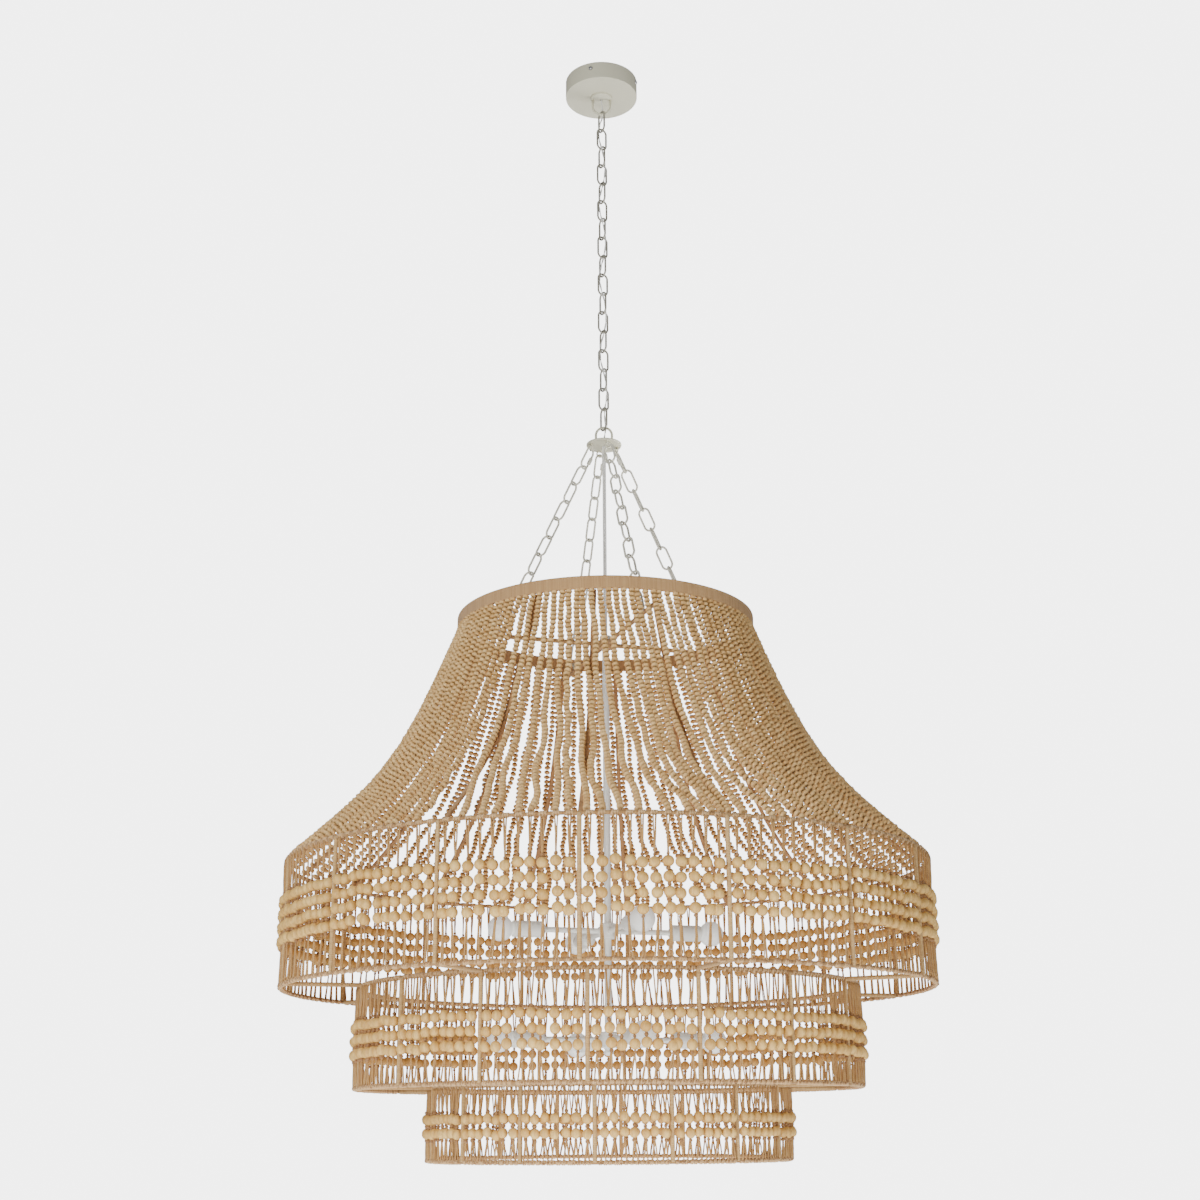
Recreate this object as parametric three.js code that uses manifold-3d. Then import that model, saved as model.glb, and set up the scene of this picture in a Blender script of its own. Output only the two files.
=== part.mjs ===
// A beaded chandelier: a four-tier drum of wood beads on a wrapped wire frame, hung on a chain.
// Millimetres, +Z up. The origin is the middle of the ceiling plate's top face, where it meets the ceiling.
// An angle is measured about Z from the front (-Y) towards the right (+X), in degrees.
import * as THREE from "three";
import Module from "manifold-3d";

const wasm = await Module();
wasm.setup();

// Fits shared by all pieces
const clearance = 0.3;
const overrun = 2;
const weldBite = 1;
const seam = 0.002;

// Canopy and what it hides
const canopyRadius = 76;
const canopyHeight = 38;
const canopyWall = 1.5;
const canopyEdgeRound = 5;
const plateThickness = 3;
const plateArmWidth = 22;
const earWidth = 14;
const earDepth = 18;
const earThickness = 2.5;
const earPlay = 0.8;
const screwAngle = 17;
const screwRadius = 2;
const screwHeadRadius = 4.2;
const screwHeadHeight = 3.5;
const screwDrop = 14;
const screwTip = 0.6;
const blockLength = 34;
const blockWidth = 17;
const blockHeight = 13;
const blockOffset = 26;
const nippleRadius = 6;
const nippleBore = 3.2;
const slotHeight = 17;
const collarRadius = 23;
const collarHeight = 4;

// Loops that carry the chain
const loopWire = 5;
const canopyLoopWidth = 42;
const canopyLoopDrop = 41.7;
const hubLoopWidth = 37;
const hubLoopRise = 38;

// Main chain
const linkCount = 17;
const linkLength = 51.8;
const linkWidth = 25.6;
const linkWire = 4.2;
const linkPlay = 0.4;
const chainTurnAngle = 32;

// Supply cord in the chain, and the clear twin cord under the hub
const cordDiameter = 3.6;
const cordReach = 6.4;
const lampCordWidth = 7.5;

// Hub plate and the four lower chains
const hubPlateRadius = 35;
const hubPlateThickness = 4.5;
const hubHoleGap = 0.6;
const eyeRadius = 6;
const eyeWire = 3;
const hubEyeReach = 27;
const lowerLinkCount = 10;
const lowerLinkWidth = 25;
const lowerLinkWire = 3.6;
const lowerLinkBite = 0.8;
const braceEyeReach = 203;

// Frame of wrapped wire. Its levels follow from the hub down: band, flare, then three tiers.
const bayCount = 16;
const baySegmentCount = 2;
const frameAngle = 18.2;
const rodDiameter = 10;
const postDiameter = 7;
const bandRadius = 284;
const bandHeight = 24;
const bandThickness = 7;
const bandDrop = 364.8;
const braceDrop = 47.2;
const braceRod = 8.5;
const braceHubRadius = 15;
const braceHubHeight = 16;
const tierOneRadius = 580.5;
const tierTwoRadius = 445;
const tierThreeRadius = 316;
const flareHeight = 476.8;
const tierOneHeight = 217.1;
const tierTwoHeight = 169.4;
const tierThreeHeight = 119.3;
const ribWidth = 8;
const ribThickness = 5;

// Beads and strings
const beadDiameter = 18;
const beadPitch = 23.2;
const stringThickness = 2.7;
const tierOneRowCount = 4;
const tierTwoRowCount = 3;
const tierThreeRowCount = 2;
const tierOneRowsShare = 0.4975;
const tierTwoRowsShare = 0.5413;
const tierThreeRowsShare = 0.534;
const strandThickness = 11.5;
const strandStepCount = 6;
const strandEndGap = 3;
const bellWaistShares = [0.36, 0.63];
const bellPullShare = 0.9;

// Openings that stand for the gaps between strings, one across each bay
const windowMargin = 5;
const curtainWindowShare = 0.78;
const strandWindowBar = 14;
const strandWindowShares = [
  [0.14, 0.3, 0.34],
  [0.38, 0.36, 0.44],
  [0.64, 0.46, 0.56],
];

// Lamps
const stemDiameter = 13;
const stemTail = 27.5;
const stemCollarDiameter = 22;
const stemCollarHeight = 9;
const stemBoreDepth = 14;
const finialRadius = 9;
const finialHeight = 13;
const finialShares = [
  [0.6, 0.05],
  [1, 0.4],
  [0.8, 0.85],
];
const upperLampDrop = 112.6;
const lowerLampDrop = 87;
const lampAngle = 17;
const clusterRadius = 15;
const clusterHeight = 28;
const armDiameter = 10;
const armBite = 3.5;
const socketStart = 119;
const socketDiameter = 29;
const socketLength = 59;
const socketWall = 1.6;
const socketCupDepth = 30;
const socketSeatDepth = 8;
const bulbDiameter = 45.5;
const bulbReach = 223;
const bulbCapDiameter = 24.6;

// How finely round things are cut into flats
const canopyFacetCount = 28;
const hubFacetCount = 20;
const collarFacetCount = 16;
const stemFacetCount = 12;
const armFacetCount = 8;
const boltFacetCount = 6;
const wireFacetCount = 5;
const rodFacetCount = 4;
const linkStepCount = 8;
const lowerLinkStepCount = 6;
const bendStepCount = 12;
const cordStepCount = 76;

// Values that follow from the sizes above
const turn = THREE.MathUtils.degToRad;
const segments = bayCount * baySegmentCount;
const bayAngle = 360 / bayCount;
const screwTurns = [0, 1, 2, 3].map((k) => 90 * k - screwAngle);
const loopBottomWire = -canopyHeight - canopyLoopDrop + loopWire / 2;
const hookLift = (loopWire + linkWire) / 2 + linkPlay;
const linkHalf = (linkLength - linkWire) / 2;
const linkPitch = 2 * linkHalf - linkWire - linkPlay;
const firstLink = loopBottomWire + hookLift - linkHalf;
const lastLink = firstLink - (linkCount - 1) * linkPitch;
const hubLoopTopWire = lastLink - linkHalf + hookLift;
const hubPlateTop = hubLoopTopWire + loopWire / 2 - hubLoopRise;
const hubPlateBottom = hubPlateTop - hubPlateThickness;
const hubHole = lampCordWidth / 2 + hubHoleGap;
const postInset = (rodDiameter + postDiameter) / 2 - weldBite;
const beadOut = beadDiameter / 2 + clearance - postInset + postDiameter / 2;
const ringClear = postDiameter / 2 + clearance;
const bandTop = hubPlateBottom - bandDrop;
const bandBottom = bandTop - bandHeight;
const braceLevel = bandTop - braceDrop;
const tierOneTop = bandTop - flareHeight;
const tierTwoTop = tierOneTop - tierOneHeight;
const tierThreeTop = tierTwoTop - tierTwoHeight;
const tierThreeBottom = tierThreeTop - tierThreeHeight;
const upperLampLevel = tierOneTop - upperLampDrop;
const lowerLampLevel = tierTwoTop - lowerLampDrop;
const stemBottom = lowerLampLevel - stemTail;

// Colours and finishes
const paint = (color, roughness, metalness) =>
  new THREE.MeshStandardMaterial({ color, roughness, metalness });
const ivoryMetal = () => paint(0xcdcbbd, 0.45, 0.35);
const steel = () => paint(0xb9b9b4, 0.35, 0.8);
const raffia = () => paint(0xcda57d, 0.85, 0);
const wood = () => paint(0xdcc396, 0.6, 0);
const smallBead = () => paint(0xcdaf82, 0.6, 0);
const frosted = () => paint(0xf1ede2, 0.3, 0);
const clearCord = () => paint(0xc9c9c4, 0.4, 0);
const plastic = () => paint(0xe6e4da, 0.5, 0);

// Points of a geometry that lie together, such as those along a seam, become one, so that it closes.
const weld = (geometry) => {
  const place = geometry.attributes.position;
  const kept = [];
  const numbers = Array.from({ length: place.count }, (_, k) => {
    const point = new THREE.Vector3().fromBufferAttribute(place, k);
    const known = kept.findIndex((other) => other.distanceToSquared(point) < seam * seam);
    return known < 0 ? kept.push(point) - 1 : known;
  });
  const corners = geometry.index ? Array.from(geometry.index.array, (k) => numbers[k]) : numbers;
  const triangles = [];
  for (let k = 0; k < corners.length; k += 3) {
    const [a, b, c] = corners.slice(k, k + 3);
    if (a !== b && b !== c && c !== a) triangles.push(a, b, c);
  }
  return { points: kept.flatMap((point) => point.toArray()), triangles };
};

const toSolid = (geometry) => {
  const { points, triangles } = weld(geometry);
  return new wasm.Manifold(
    new wasm.Mesh({
      numProp: 3,
      vertProperties: new Float32Array(points),
      triVerts: new Uint32Array(triangles),
    }),
  );
};

const toGeometry = (solid) => {
  const mesh = solid.getMesh();
  const geometry = new THREE.BufferGeometry();
  const points = new THREE.BufferAttribute(mesh.vertProperties, 3);
  geometry.setAttribute("position", points);
  geometry.setIndex(new THREE.BufferAttribute(mesh.triVerts, 1));
  return geometry;
};

const join = (geometries) =>
  toGeometry(geometries.map(toSolid).reduce((all, next) => all.add(next)));

const cut = (body, tools) =>
  toGeometry(
    tools.map(toSolid).reduce((rest, tool) => rest.subtract(tool), toSolid(body)),
  );

// Shapes used again and again
const at = (reach, degrees, level) =>
  new THREE.Vector3(
    reach * Math.sin(turn(degrees)),
    -reach * Math.cos(turn(degrees)),
    level,
  );

// A closed outline of [radius, level] points turned about Z, running upwards on its outer side.
const revolve = (outline, count, startDegrees = 0) => {
  const points = outline.map(([r, level]) => new THREE.Vector2(r, level));
  const lathe = new THREE.LatheGeometry(points, count, turn(startDegrees));
  return lathe.rotateX(Math.PI / 2);
};

const closed = (outline) => [...outline, outline[0]];

// A straight round or many-sided bar between two points, a corner of its section facing `up`.
const bar = (from, to, radius, sides, up = new THREE.Vector3(0, 0, 1)) => {
  const along = to.clone().sub(from);
  const geometry = new THREE.CylinderGeometry(radius, radius, along.length(), sides);
  const y = along.clone().normalize();
  const x = new THREE.Vector3().crossVectors(y, up).normalize();
  const z = new THREE.Vector3().crossVectors(x, y);
  const middle = from.clone().add(to).multiplyScalar(1 / 2);
  const place = new THREE.Matrix4().makeBasis(x, y, z).setPosition(middle);
  return geometry.applyMatrix4(place);
};

// A tube along a curve, with as many sides and steps as asked for.
const tube = (curve, radius, sides, steps) => {
  const section = new THREE.Shape(
    Array.from({ length: sides }, (_, k) => {
      const angle = (2 * Math.PI * k) / sides;
      return new THREE.Vector2(radius * Math.cos(angle), radius * Math.sin(angle));
    }),
  );
  return new THREE.ExtrudeGeometry(section, { steps, extrudePath: curve });
};

// A straight-sided link in the XZ plane: a torus whose upper half is moved up and lower half down.
const stretchedRing = (length, width, wire, sides, steps) => {
  const halfStep = Math.PI / steps;
  const radius = (width - wire) / 2 / Math.cos(halfStep);
  const shift = (length - wire) / 2 - radius * (steps % 4 ? 1 : Math.cos(halfStep));
  const geometry = new THREE.TorusGeometry(radius, wire / 2, sides, steps);
  geometry.rotateZ(halfStep).rotateX(Math.PI / 2);
  const place = geometry.attributes.position;
  for (let k = 0; k < place.count; k++) {
    const z = place.getZ(k);
    place.setZ(k, z + Math.sign(z) * shift);
  }
  return geometry;
};

// A wire bent to a U: two legs and a half circle, the bend lying at z = 0 and the legs rising.
const bentWire = (width, wire, height) => {
  const radius = (width - wire) / 2;
  const path = new THREE.CurvePath();
  const left = new THREE.Vector3(-radius, 0, radius);
  const right = new THREE.Vector3(radius, 0, radius);
  const corner = radius * (4 / 3) * (Math.SQRT2 - 1);
  const low = new THREE.Vector3(0, 0, 0);
  path.add(new THREE.LineCurve3(new THREE.Vector3(-radius, 0, height), left));
  path.add(
    new THREE.CubicBezierCurve3(
      left,
      new THREE.Vector3(-radius, 0, radius - corner),
      new THREE.Vector3(-corner, 0, 0),
      low,
    ),
  );
  path.add(
    new THREE.CubicBezierCurve3(
      low,
      new THREE.Vector3(corner, 0, 0),
      new THREE.Vector3(radius, 0, radius - corner),
      right,
    ),
  );
  path.add(new THREE.LineCurve3(right, new THREE.Vector3(radius, 0, height)));
  return tube(path, wire / 2, wireFacetCount, bendStepCount);
};

// Canopy group
const screwHole = (degrees, radius) =>
  bar(
    at(canopyRadius - canopyWall - earPlay - earThickness - overrun, degrees, -screwDrop),
    at(canopyRadius + overrun, degrees, -screwDrop),
    radius,
    boltFacetCount,
  );

const canopy = () => {
  const inner = canopyRadius - canopyWall;
  const hole = nippleRadius + clearance;
  const shell = revolve(
    closed([
      [hole, -canopyHeight],
      [canopyRadius - canopyEdgeRound, -canopyHeight],
      [canopyRadius, canopyEdgeRound - canopyHeight],
      [canopyRadius, 0],
      [inner, 0],
      [inner, canopyEdgeRound - canopyHeight],
      [inner - canopyEdgeRound, canopyWall - canopyHeight],
      [hole, canopyWall - canopyHeight],
    ]),
    canopyFacetCount,
  );
  return cut(
    shell,
    screwTurns.map((degrees) => screwHole(degrees, screwRadius + clearance)),
  );
};

const ceilingPlate = () => {
  const reach = canopyRadius - canopyWall - earPlay - earThickness / 2;
  const arms = [0, 1].map((k) =>
    new THREE.BoxGeometry(2 * reach, plateArmWidth, plateThickness)
      .translate(0, 0, -plateThickness / 2)
      .rotateZ(turn(screwTurns[k] - 90)),
  );
  const ears = screwTurns.map((degrees) =>
    new THREE.BoxGeometry(earThickness, earWidth, earDepth)
      .translate(reach, 0, -earDepth / 2)
      .rotateZ(turn(degrees - 90)),
  );
  return cut(
    join([...arms, ...ears]),
    screwTurns.map((degrees) => screwHole(degrees, screwRadius + clearance)),
  );
};

const canopyScrew = (degrees) => {
  const head = canopyRadius + clearance;
  const start = head - canopyWall - earPlay - earThickness - screwTip;
  return join([
    bar(
      at(start, degrees, -screwDrop),
      at(head + overrun, degrees, -screwDrop),
      screwRadius,
      boltFacetCount,
    ),
    bar(
      at(head, degrees, -screwDrop),
      at(head + screwHeadHeight, degrees, -screwDrop),
      screwHeadRadius,
      armFacetCount,
    ),
  ]);
};

const terminalBlock = () =>
  new THREE.BoxGeometry(blockWidth, blockLength, blockHeight).translate(
    -blockOffset,
    0,
    -plateThickness - clearance - blockHeight / 2,
  );

const canopyLoop = () => {
  const seat = -canopyHeight - clearance;
  const collar = revolve(
    closed([
      [nippleBore, seat - collarHeight],
      [collarRadius, seat - collarHeight],
      [collarRadius, seat],
      [nippleRadius, seat],
      [nippleRadius, -plateThickness - clearance],
      [nippleBore, -plateThickness - clearance],
    ]),
    collarFacetCount,
  );
  const bend = bentWire(canopyLoopWidth, loopWire, seat - collarHeight + weldBite - loopBottomWire);
  const slot = new THREE.BoxGeometry(nippleRadius + overrun, 2 * nippleBore - clearance, slotHeight)
    .translate(-(nippleRadius + overrun) / 2, 0, -plateThickness - overrun - slotHeight / 2);
  return cut(join([collar, bend.translate(0, 0, loopBottomWire)]), [slot]);
};

// Main chain, turned a little from the loops: every other link stands square to its neighbours.
const chainLink = (number) => {
  const link = stretchedRing(linkLength, linkWidth, linkWire, rodFacetCount, linkStepCount);
  link.rotateZ(turn(chainTurnAngle + (number % 2 ? 90 : 0)));
  return link.translate(0, 0, firstLink - (number - 1) * linkPitch);
};

// The cord leaves the terminal block, drops through the nipple and winds a quarter turn round each link
// but the last, which it passes on one side. Between a loop and a link it keeps halfway between them.
const cordTop = [
  [-17.1, 0, -9.8],
  [-9, 0, -10.2],
  [-3.2, 0, -13.4],
  [0, 0, -20],
  [0, 0, -32],
  [0, 0, -42],
];

const supplyCord = () => {
  const crossing = (k) => {
    const lean = k === 0 || k === linkCount ? -chainTurnAngle / 2 : 0;
    const level = firstLink + linkPitch / 2 - k * linkPitch;
    return [chainTurnAngle + 45 + 90 * Math.min(k, linkCount - 1) + lean, level];
  };
  const points = cordTop.map((p) => new THREE.Vector3(...p));
  for (let k = 0; k <= linkCount; k++) {
    const [angle, level] = crossing(k);
    points.push(
      new THREE.Vector3(
        cordReach * Math.cos(turn(angle)),
        cordReach * Math.sin(turn(angle)),
        level,
      ),
    );
    if (k === linkCount) break;
    const [next, nextLevel] = crossing(k + 1);
    const middle = turn((angle + next) / 2);
    points.push(
      new THREE.Vector3(
        cordReach * Math.cos(middle),
        cordReach * Math.sin(middle),
        (level + nextLevel) / 2,
      ),
    );
  }
  points.push(new THREE.Vector3(0, 0, hubPlateTop + cordDiameter * 2));
  points.push(new THREE.Vector3(0, 0, hubPlateTop + clearance));
  const route = new THREE.CatmullRomCurve3(points, false, "centripetal");
  return tube(route, cordDiameter / 2, wireFacetCount, cordStepCount);
};

const lampCord = () =>
  bar(
    new THREE.Vector3(0, 0, braceLevel + braceHubHeight / 2 + clearance),
    new THREE.Vector3(0, 0, hubPlateTop),
    lampCordWidth / 2,
    armFacetCount,
    new THREE.Vector3(0, 1, 0),
  );

// Hub that spreads the load over four chains
const eye = (reach, degrees, level, facing) => {
  const ring = new THREE.TorusGeometry(eyeRadius, eyeWire / 2, rodFacetCount, linkStepCount);
  ring.rotateX(Math.PI / 2).rotateZ(turn(degrees + facing));
  const place = at(reach, degrees, level);
  return ring.translate(place.x, place.y, place.z);
};

const quarters = [0, 1, 2, 3].map((k) => frameAngle + 90 * k);
const hubEyeLevel = hubPlateBottom - eyeRadius - eyeWire / 2 + weldBite;
const braceEyeLevel = braceLevel + braceRod / 2 + eyeRadius + eyeWire / 2 - weldBite;

const chainHub = () => {
  const plate = revolve(
    closed([
      [hubHole, hubPlateBottom],
      [hubPlateRadius, hubPlateBottom],
      [hubPlateRadius, hubPlateTop],
      [hubHole, hubPlateTop],
    ]),
    hubFacetCount,
  );
  const bend = bentWire(hubLoopWidth, loopWire, hubLoopTopWire - hubPlateTop + weldBite);
  bend.rotateX(Math.PI).translate(0, 0, hubLoopTopWire);
  const eyes = quarters.map((degrees) => eye(hubEyeReach, degrees, hubEyeLevel, 0));
  return join([plate, bend, ...eyes]);
};

// One lower chain: its first element is the quick link under the hub, its last hooks the brace's eye.
const lowerChain = (degrees) => {
  const hook = eyeWire / 2 + clearance + lowerLinkWire / 2;
  const start = at(hubEyeReach, degrees, hubEyeLevel - eyeRadius);
  const end = at(braceEyeReach, degrees, braceEyeLevel + eyeRadius);
  const along = end.clone().sub(start).normalize();
  start.addScaledVector(along, -hook);
  end.addScaledVector(along, hook / Math.abs(along.z));
  const span = end.clone().sub(start).length();
  const pitch = (span + (lowerLinkCount - 1) * (lowerLinkWire - lowerLinkBite)) / lowerLinkCount;
  const step = pitch - lowerLinkWire + lowerLinkBite;
  const links = Array.from({ length: lowerLinkCount }, (_, k) => {
    const link = stretchedRing(
      pitch + lowerLinkWire,
      lowerLinkWidth,
      lowerLinkWire,
      rodFacetCount,
      lowerLinkStepCount,
    );
    if (k % 2) link.rotateZ(Math.PI / 2);
    return link.translate(0, 0, -pitch / 2 - k * step);
  });
  const chain = join(links);
  const down = along.clone().negate();
  const side = new THREE.Vector3().crossVectors(new THREE.Vector3(0, 0, 1), down).normalize();
  const out = new THREE.Vector3().crossVectors(side, down);
  const place = new THREE.Matrix4().makeBasis(out, side, down).setPosition(start);
  return chain.applyMatrix4(place);
};

// The bell of the flare: the middle of the strands' thickness, from the band down to the first ring.
const bell = () => {
  const top = new THREE.Vector2(bandRadius - strandThickness / 2, bandBottom - clearance);
  const end = new THREE.Vector2(tierOneRadius, tierOneTop);
  const waist = new THREE.Vector2(
    bandRadius + (tierOneRadius - bandRadius) * bellWaistShares[0],
    bandBottom + (tierOneTop - bandBottom) * bellWaistShares[1],
  );
  const gap = rodDiameter / 2 + strandEndGap;
  const last = end.clone().sub(waist).normalize();
  end.addScaledVector(last, -gap);
  const first = top.clone().lerp(waist, bellPullShare);
  const second = end.clone().lerp(waist, bellPullShare);
  return new THREE.CubicBezierCurve(top, first, second, end);
};

// A cutter out through a wall in the middle of each bay. An edge is [half its width, level], from the top.
const bayCutters = (edges, inner, outer) => {
  const side = (sign) => edges.map(([half, level]) => new THREE.Vector2(sign * half, level));
  const shape = new THREE.Shape([...side(1), ...side(-1).reverse()]);
  return Array.from({ length: bayCount }, (_, k) =>
    new THREE.ExtrudeGeometry(shape, { depth: outer - inner, bevelEnabled: false })
      .rotateX(Math.PI / 2)
      .translate(0, -inner, 0)
      .rotateZ(turn(frameAngle + bayAngle * (k + 1 / 2))),
  );
};

// Half the width of a bay at a radius, times a share
const halfBay = (radius, share) => radius * Math.sin(turn(bayAngle / 2)) * share;

// Points beside the bell, so far outside its middle, as [radius, level].
const besideBell = (offset, steps) => {
  const curve = bell();
  return Array.from({ length: steps + 1 }, (_, k) => {
    const point = curve.getPoint(k / steps);
    const way = curve.getTangent(k / steps);
    return [point.x - offset * way.y, point.y + offset * way.x];
  });
};

// Moves the first point of a line, or with -1 its last, along its own stretch to a level.
const slideTo = (line, end, level) => {
  const inner = end < 0 ? line.at(-2) : line[1];
  const outer = line.at(end);
  const share = (level - inner[1]) / (outer[1] - inner[1]);
  outer[0] = inner[0] + (outer[0] - inner[0]) * share;
  outer[1] = level;
  return line;
};

// The flare's ribs lie inside the strands, whose flats dip towards them beside each corner.
const ribOffset = strandThickness / 2 + clearance + (ribWidth / 2) * Math.tan(Math.PI / segments);
const ribInside = () => besideBell(-ribOffset - ribThickness, strandStepCount);
const ribReach = (level) => {
  const line = ribInside();
  const below = line.findIndex(([, z]) => z < level);
  const [[r0, z0], [r1, z1]] = [line[below - 1], line[below]];
  return r0 + ((r1 - r0) * (level - z0)) / (z1 - z0);
};

const crownBrace = () => {
  const reach = ribReach(braceLevel + braceRod / 2) - clearance;
  const bars = [0, 1].map((k) =>
    bar(
      at(reach, quarters[k], braceLevel),
      at(-reach, quarters[k], braceLevel),
      braceRod / 2,
      boltFacetCount,
    ),
  );
  const half = braceHubHeight / 2;
  const fitting = bar(
    new THREE.Vector3(0, 0, braceLevel - half),
    new THREE.Vector3(0, 0, braceLevel + half),
    braceHubRadius,
    stemFacetCount,
    new THREE.Vector3(0, 1, 0),
  );
  const bore = bar(
    new THREE.Vector3(0, 0, braceLevel - half - overrun),
    new THREE.Vector3(0, 0, braceLevel + half + overrun),
    stemDiameter / 2 + clearance,
    stemFacetCount,
    new THREE.Vector3(0, 1, 0),
  );
  const eyes = quarters.map((degrees) => eye(braceEyeReach, degrees, braceEyeLevel, 90));
  return cut(join([fitting, ...bars, ...eyes]), [bore]);
};

// Openings in the strands: each runs from one share of the bell's curve to the next, and widens downwards.
const strandCutters = () => {
  const curve = bell();
  const ends = [...strandWindowShares.slice(1).map(([start]) => start), 1];
  return strandWindowShares.flatMap(([start, upper, lower], k) => {
    const high = curve.getPoint(start);
    const low = curve.getPoint(ends[k]);
    const edges = [
      [halfBay(high.x, upper), high.y],
      [halfBay(low.x, lower), low.y + strandWindowBar],
    ];
    return bayCutters(edges, bandRadius - 2 * strandThickness, tierOneRadius + overrun);
  });
};

const flareStrands = () => {
  const top = bandBottom - clearance;
  const outer = slideTo(besideBell(strandThickness / 2, strandStepCount), 0, top);
  const inner = slideTo(besideBell(-strandThickness / 2, strandStepCount), 0, top);
  const wall = revolve(closed([...outer.reverse(), ...inner]), segments, frameAngle);
  return cut(wall, strandCutters());
};

const flareFrame = () => {
  const inner = bandRadius - bandThickness;
  const band = revolve(
    closed([
      [inner, bandBottom],
      [bandRadius, bandBottom],
      [bandRadius, bandTop],
      [inner, bandTop],
    ]),
    segments,
    frameAngle,
  );
  const foot = tierOneTop + clearance;
  const outer = besideBell(-ribOffset, strandStepCount);
  slideTo(slideTo(outer, -1, foot), 0, bandBottom);
  const inside = slideTo(ribInside(), -1, foot);
  const outline = [
    [inner + weldBite, bandTop],
    [inner + weldBite, bandBottom],
    ...outer,
    ...inside.reverse(),
    [inside.at(-1)[0], bandTop],
  ];
  const shape = new THREE.Shape(outline.map(([r, level]) => new THREE.Vector2(r, level)));
  const ribs = Array.from({ length: bayCount }, (_, k) =>
    new THREE.ExtrudeGeometry(shape, { depth: ribWidth, bevelEnabled: false })
      .translate(0, 0, -ribWidth / 2)
      .rotateX(Math.PI / 2)
      .rotateZ(turn(frameAngle + bayAngle * k - 90)),
  );
  return join([band, ...ribs]);
};

// A ring of wrapped rod, a corner of its section facing out.
const ring = (radius, level) => {
  const half = rodDiameter / 2;
  return revolve(
    closed([
      [radius, level - half],
      [radius + half, level],
      [radius, level + half],
      [radius - half, level],
    ]),
    segments,
    frameAngle,
  );
};

const posts = (radius, top, bottom) =>
  Array.from({ length: bayCount }, (_, k) => {
    const degrees = frameAngle + bayAngle * k;
    const reach = radius - postInset;
    return bar(
      at(reach, degrees, bottom),
      at(reach, degrees, top),
      postDiameter / 2,
      rodFacetCount,
      at(1, degrees, 0),
    );
  });

// Eight spokes carry a tier from the ring of the wider tier above it.
const spokes = (radius, outerRadius, level) =>
  Array.from({ length: bayCount / 2 }, (_, k) => {
    const degrees = frameAngle + 2 * bayAngle * k;
    const end = outerRadius - postInset - postDiameter / 2 - clearance;
    return bar(
      at(radius, degrees, level),
      at(end, degrees, level),
      postDiameter / 2,
      rodFacetCount,
    );
  });

const tierFrame = (radius, top, bottom, outerRadius) =>
  join([
    ring(radius, top),
    ring(radius, bottom),
    ...posts(radius, top, bottom),
    ...(outerRadius ? spokes(radius, outerRadius, top) : []),
  ]);

// Strings and beads of one tier as a thin wall that swells at each row of beads, open above and below them.
const beadCurtain = (radius, top, bottom, rows, middleShare) => {
  const firstRow = (top - bottom) * middleShare - ((rows - 1) / 2) * beadPitch;
  const middle = radius + beadOut;
  const thin = stringThickness / 2;
  const thick = beadDiameter / 2;
  const side = (sign) => {
    const line = [[middle + sign * thin, top - ringClear]];
    for (let k = 0; k < rows; k++) {
      const level = top - firstRow - k * beadPitch;
      line.push([middle + sign * thin, level + thick]);
      line.push([middle + sign * thick, level]);
      line.push([middle + sign * thin, level - thick]);
    }
    line.push([middle + sign * thin, bottom + ringClear]);
    return line;
  };
  const wall = revolve(closed([...side(1).reverse(), ...side(-1)]), segments, frameAngle);
  const rowsTop = top - firstRow + thick;
  const rowsBottom = top - firstRow - (rows - 1) * beadPitch - thick;
  const half = halfBay(middle, curtainWindowShare);
  const windows = [
    [top - ringClear, rowsTop],
    [rowsBottom, bottom + ringClear],
  ].flatMap(([high, low]) => {
    const edges = [
      [half, high - windowMargin],
      [half, low + windowMargin],
    ];
    return bayCutters(edges, radius - beadDiameter, radius + 2 * beadDiameter);
  });
  return cut(wall, windows);
};

// Lamps: a hollow-topped stem, two four-armed clusters, sockets and bulbs
const lampStem = () => {
  const top = braceLevel + braceHubHeight / 2 + clearance + stemCollarHeight;
  const bore = lampCordWidth / 2 + clearance;
  const stem = stemDiameter / 2;
  return revolve(
    [
      [0, stemBottom],
      ...finialShares.map(([out, up]) => [out * finialRadius, stemBottom + up * finialHeight]),
      [stem, stemBottom + finialHeight],
      [stem, top - stemCollarHeight],
      [stemCollarDiameter / 2, top - stemCollarHeight],
      [stemCollarDiameter / 2, top],
      [bore, top],
      [bore, top - stemBoreDepth],
      [0, top - stemBoreDepth],
    ],
    stemFacetCount,
  );
};

const lampArms = (level) => {
  const body = revolve(
    closed([
      [stemDiameter / 2 + clearance, level - clusterHeight / 2],
      [clusterRadius, level - clusterHeight / 2],
      [clusterRadius, level + clusterHeight / 2],
      [stemDiameter / 2 + clearance, level + clusterHeight / 2],
    ]),
    stemFacetCount,
  );
  const arms = [0, 1, 2, 3].map((k) => {
    const degrees = lampAngle + 90 * k;
    return bar(
      at(clusterRadius - armBite, degrees, level),
      at(socketStart + socketSeatDepth - clearance, degrees, level),
      armDiameter / 2,
      armFacetCount,
    );
  });
  return join([body, ...arms]);
};

// A piece turned about an arm's line, its outline in [radius, distance from the chandelier's axis].
const onArm = (outline, count, degrees, level) =>
  revolve(outline, count)
    .rotateX(Math.PI / 2)
    .rotateZ(turn(degrees))
    .translate(0, 0, level);

const socket = (degrees, level) => {
  const outer = socketDiameter / 2;
  const end = socketStart + socketLength;
  const seat = armDiameter / 2 + clearance;
  return onArm(
    [
      [0, socketStart + socketSeatDepth],
      [seat, socketStart + socketSeatDepth],
      [seat, socketStart],
      [outer, socketStart],
      [outer, end],
      [outer - socketWall, end],
      [outer - socketWall, end - socketCupDepth],
      [0, end - socketCupDepth],
    ],
    armFacetCount,
    degrees,
    level,
  );
};

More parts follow.
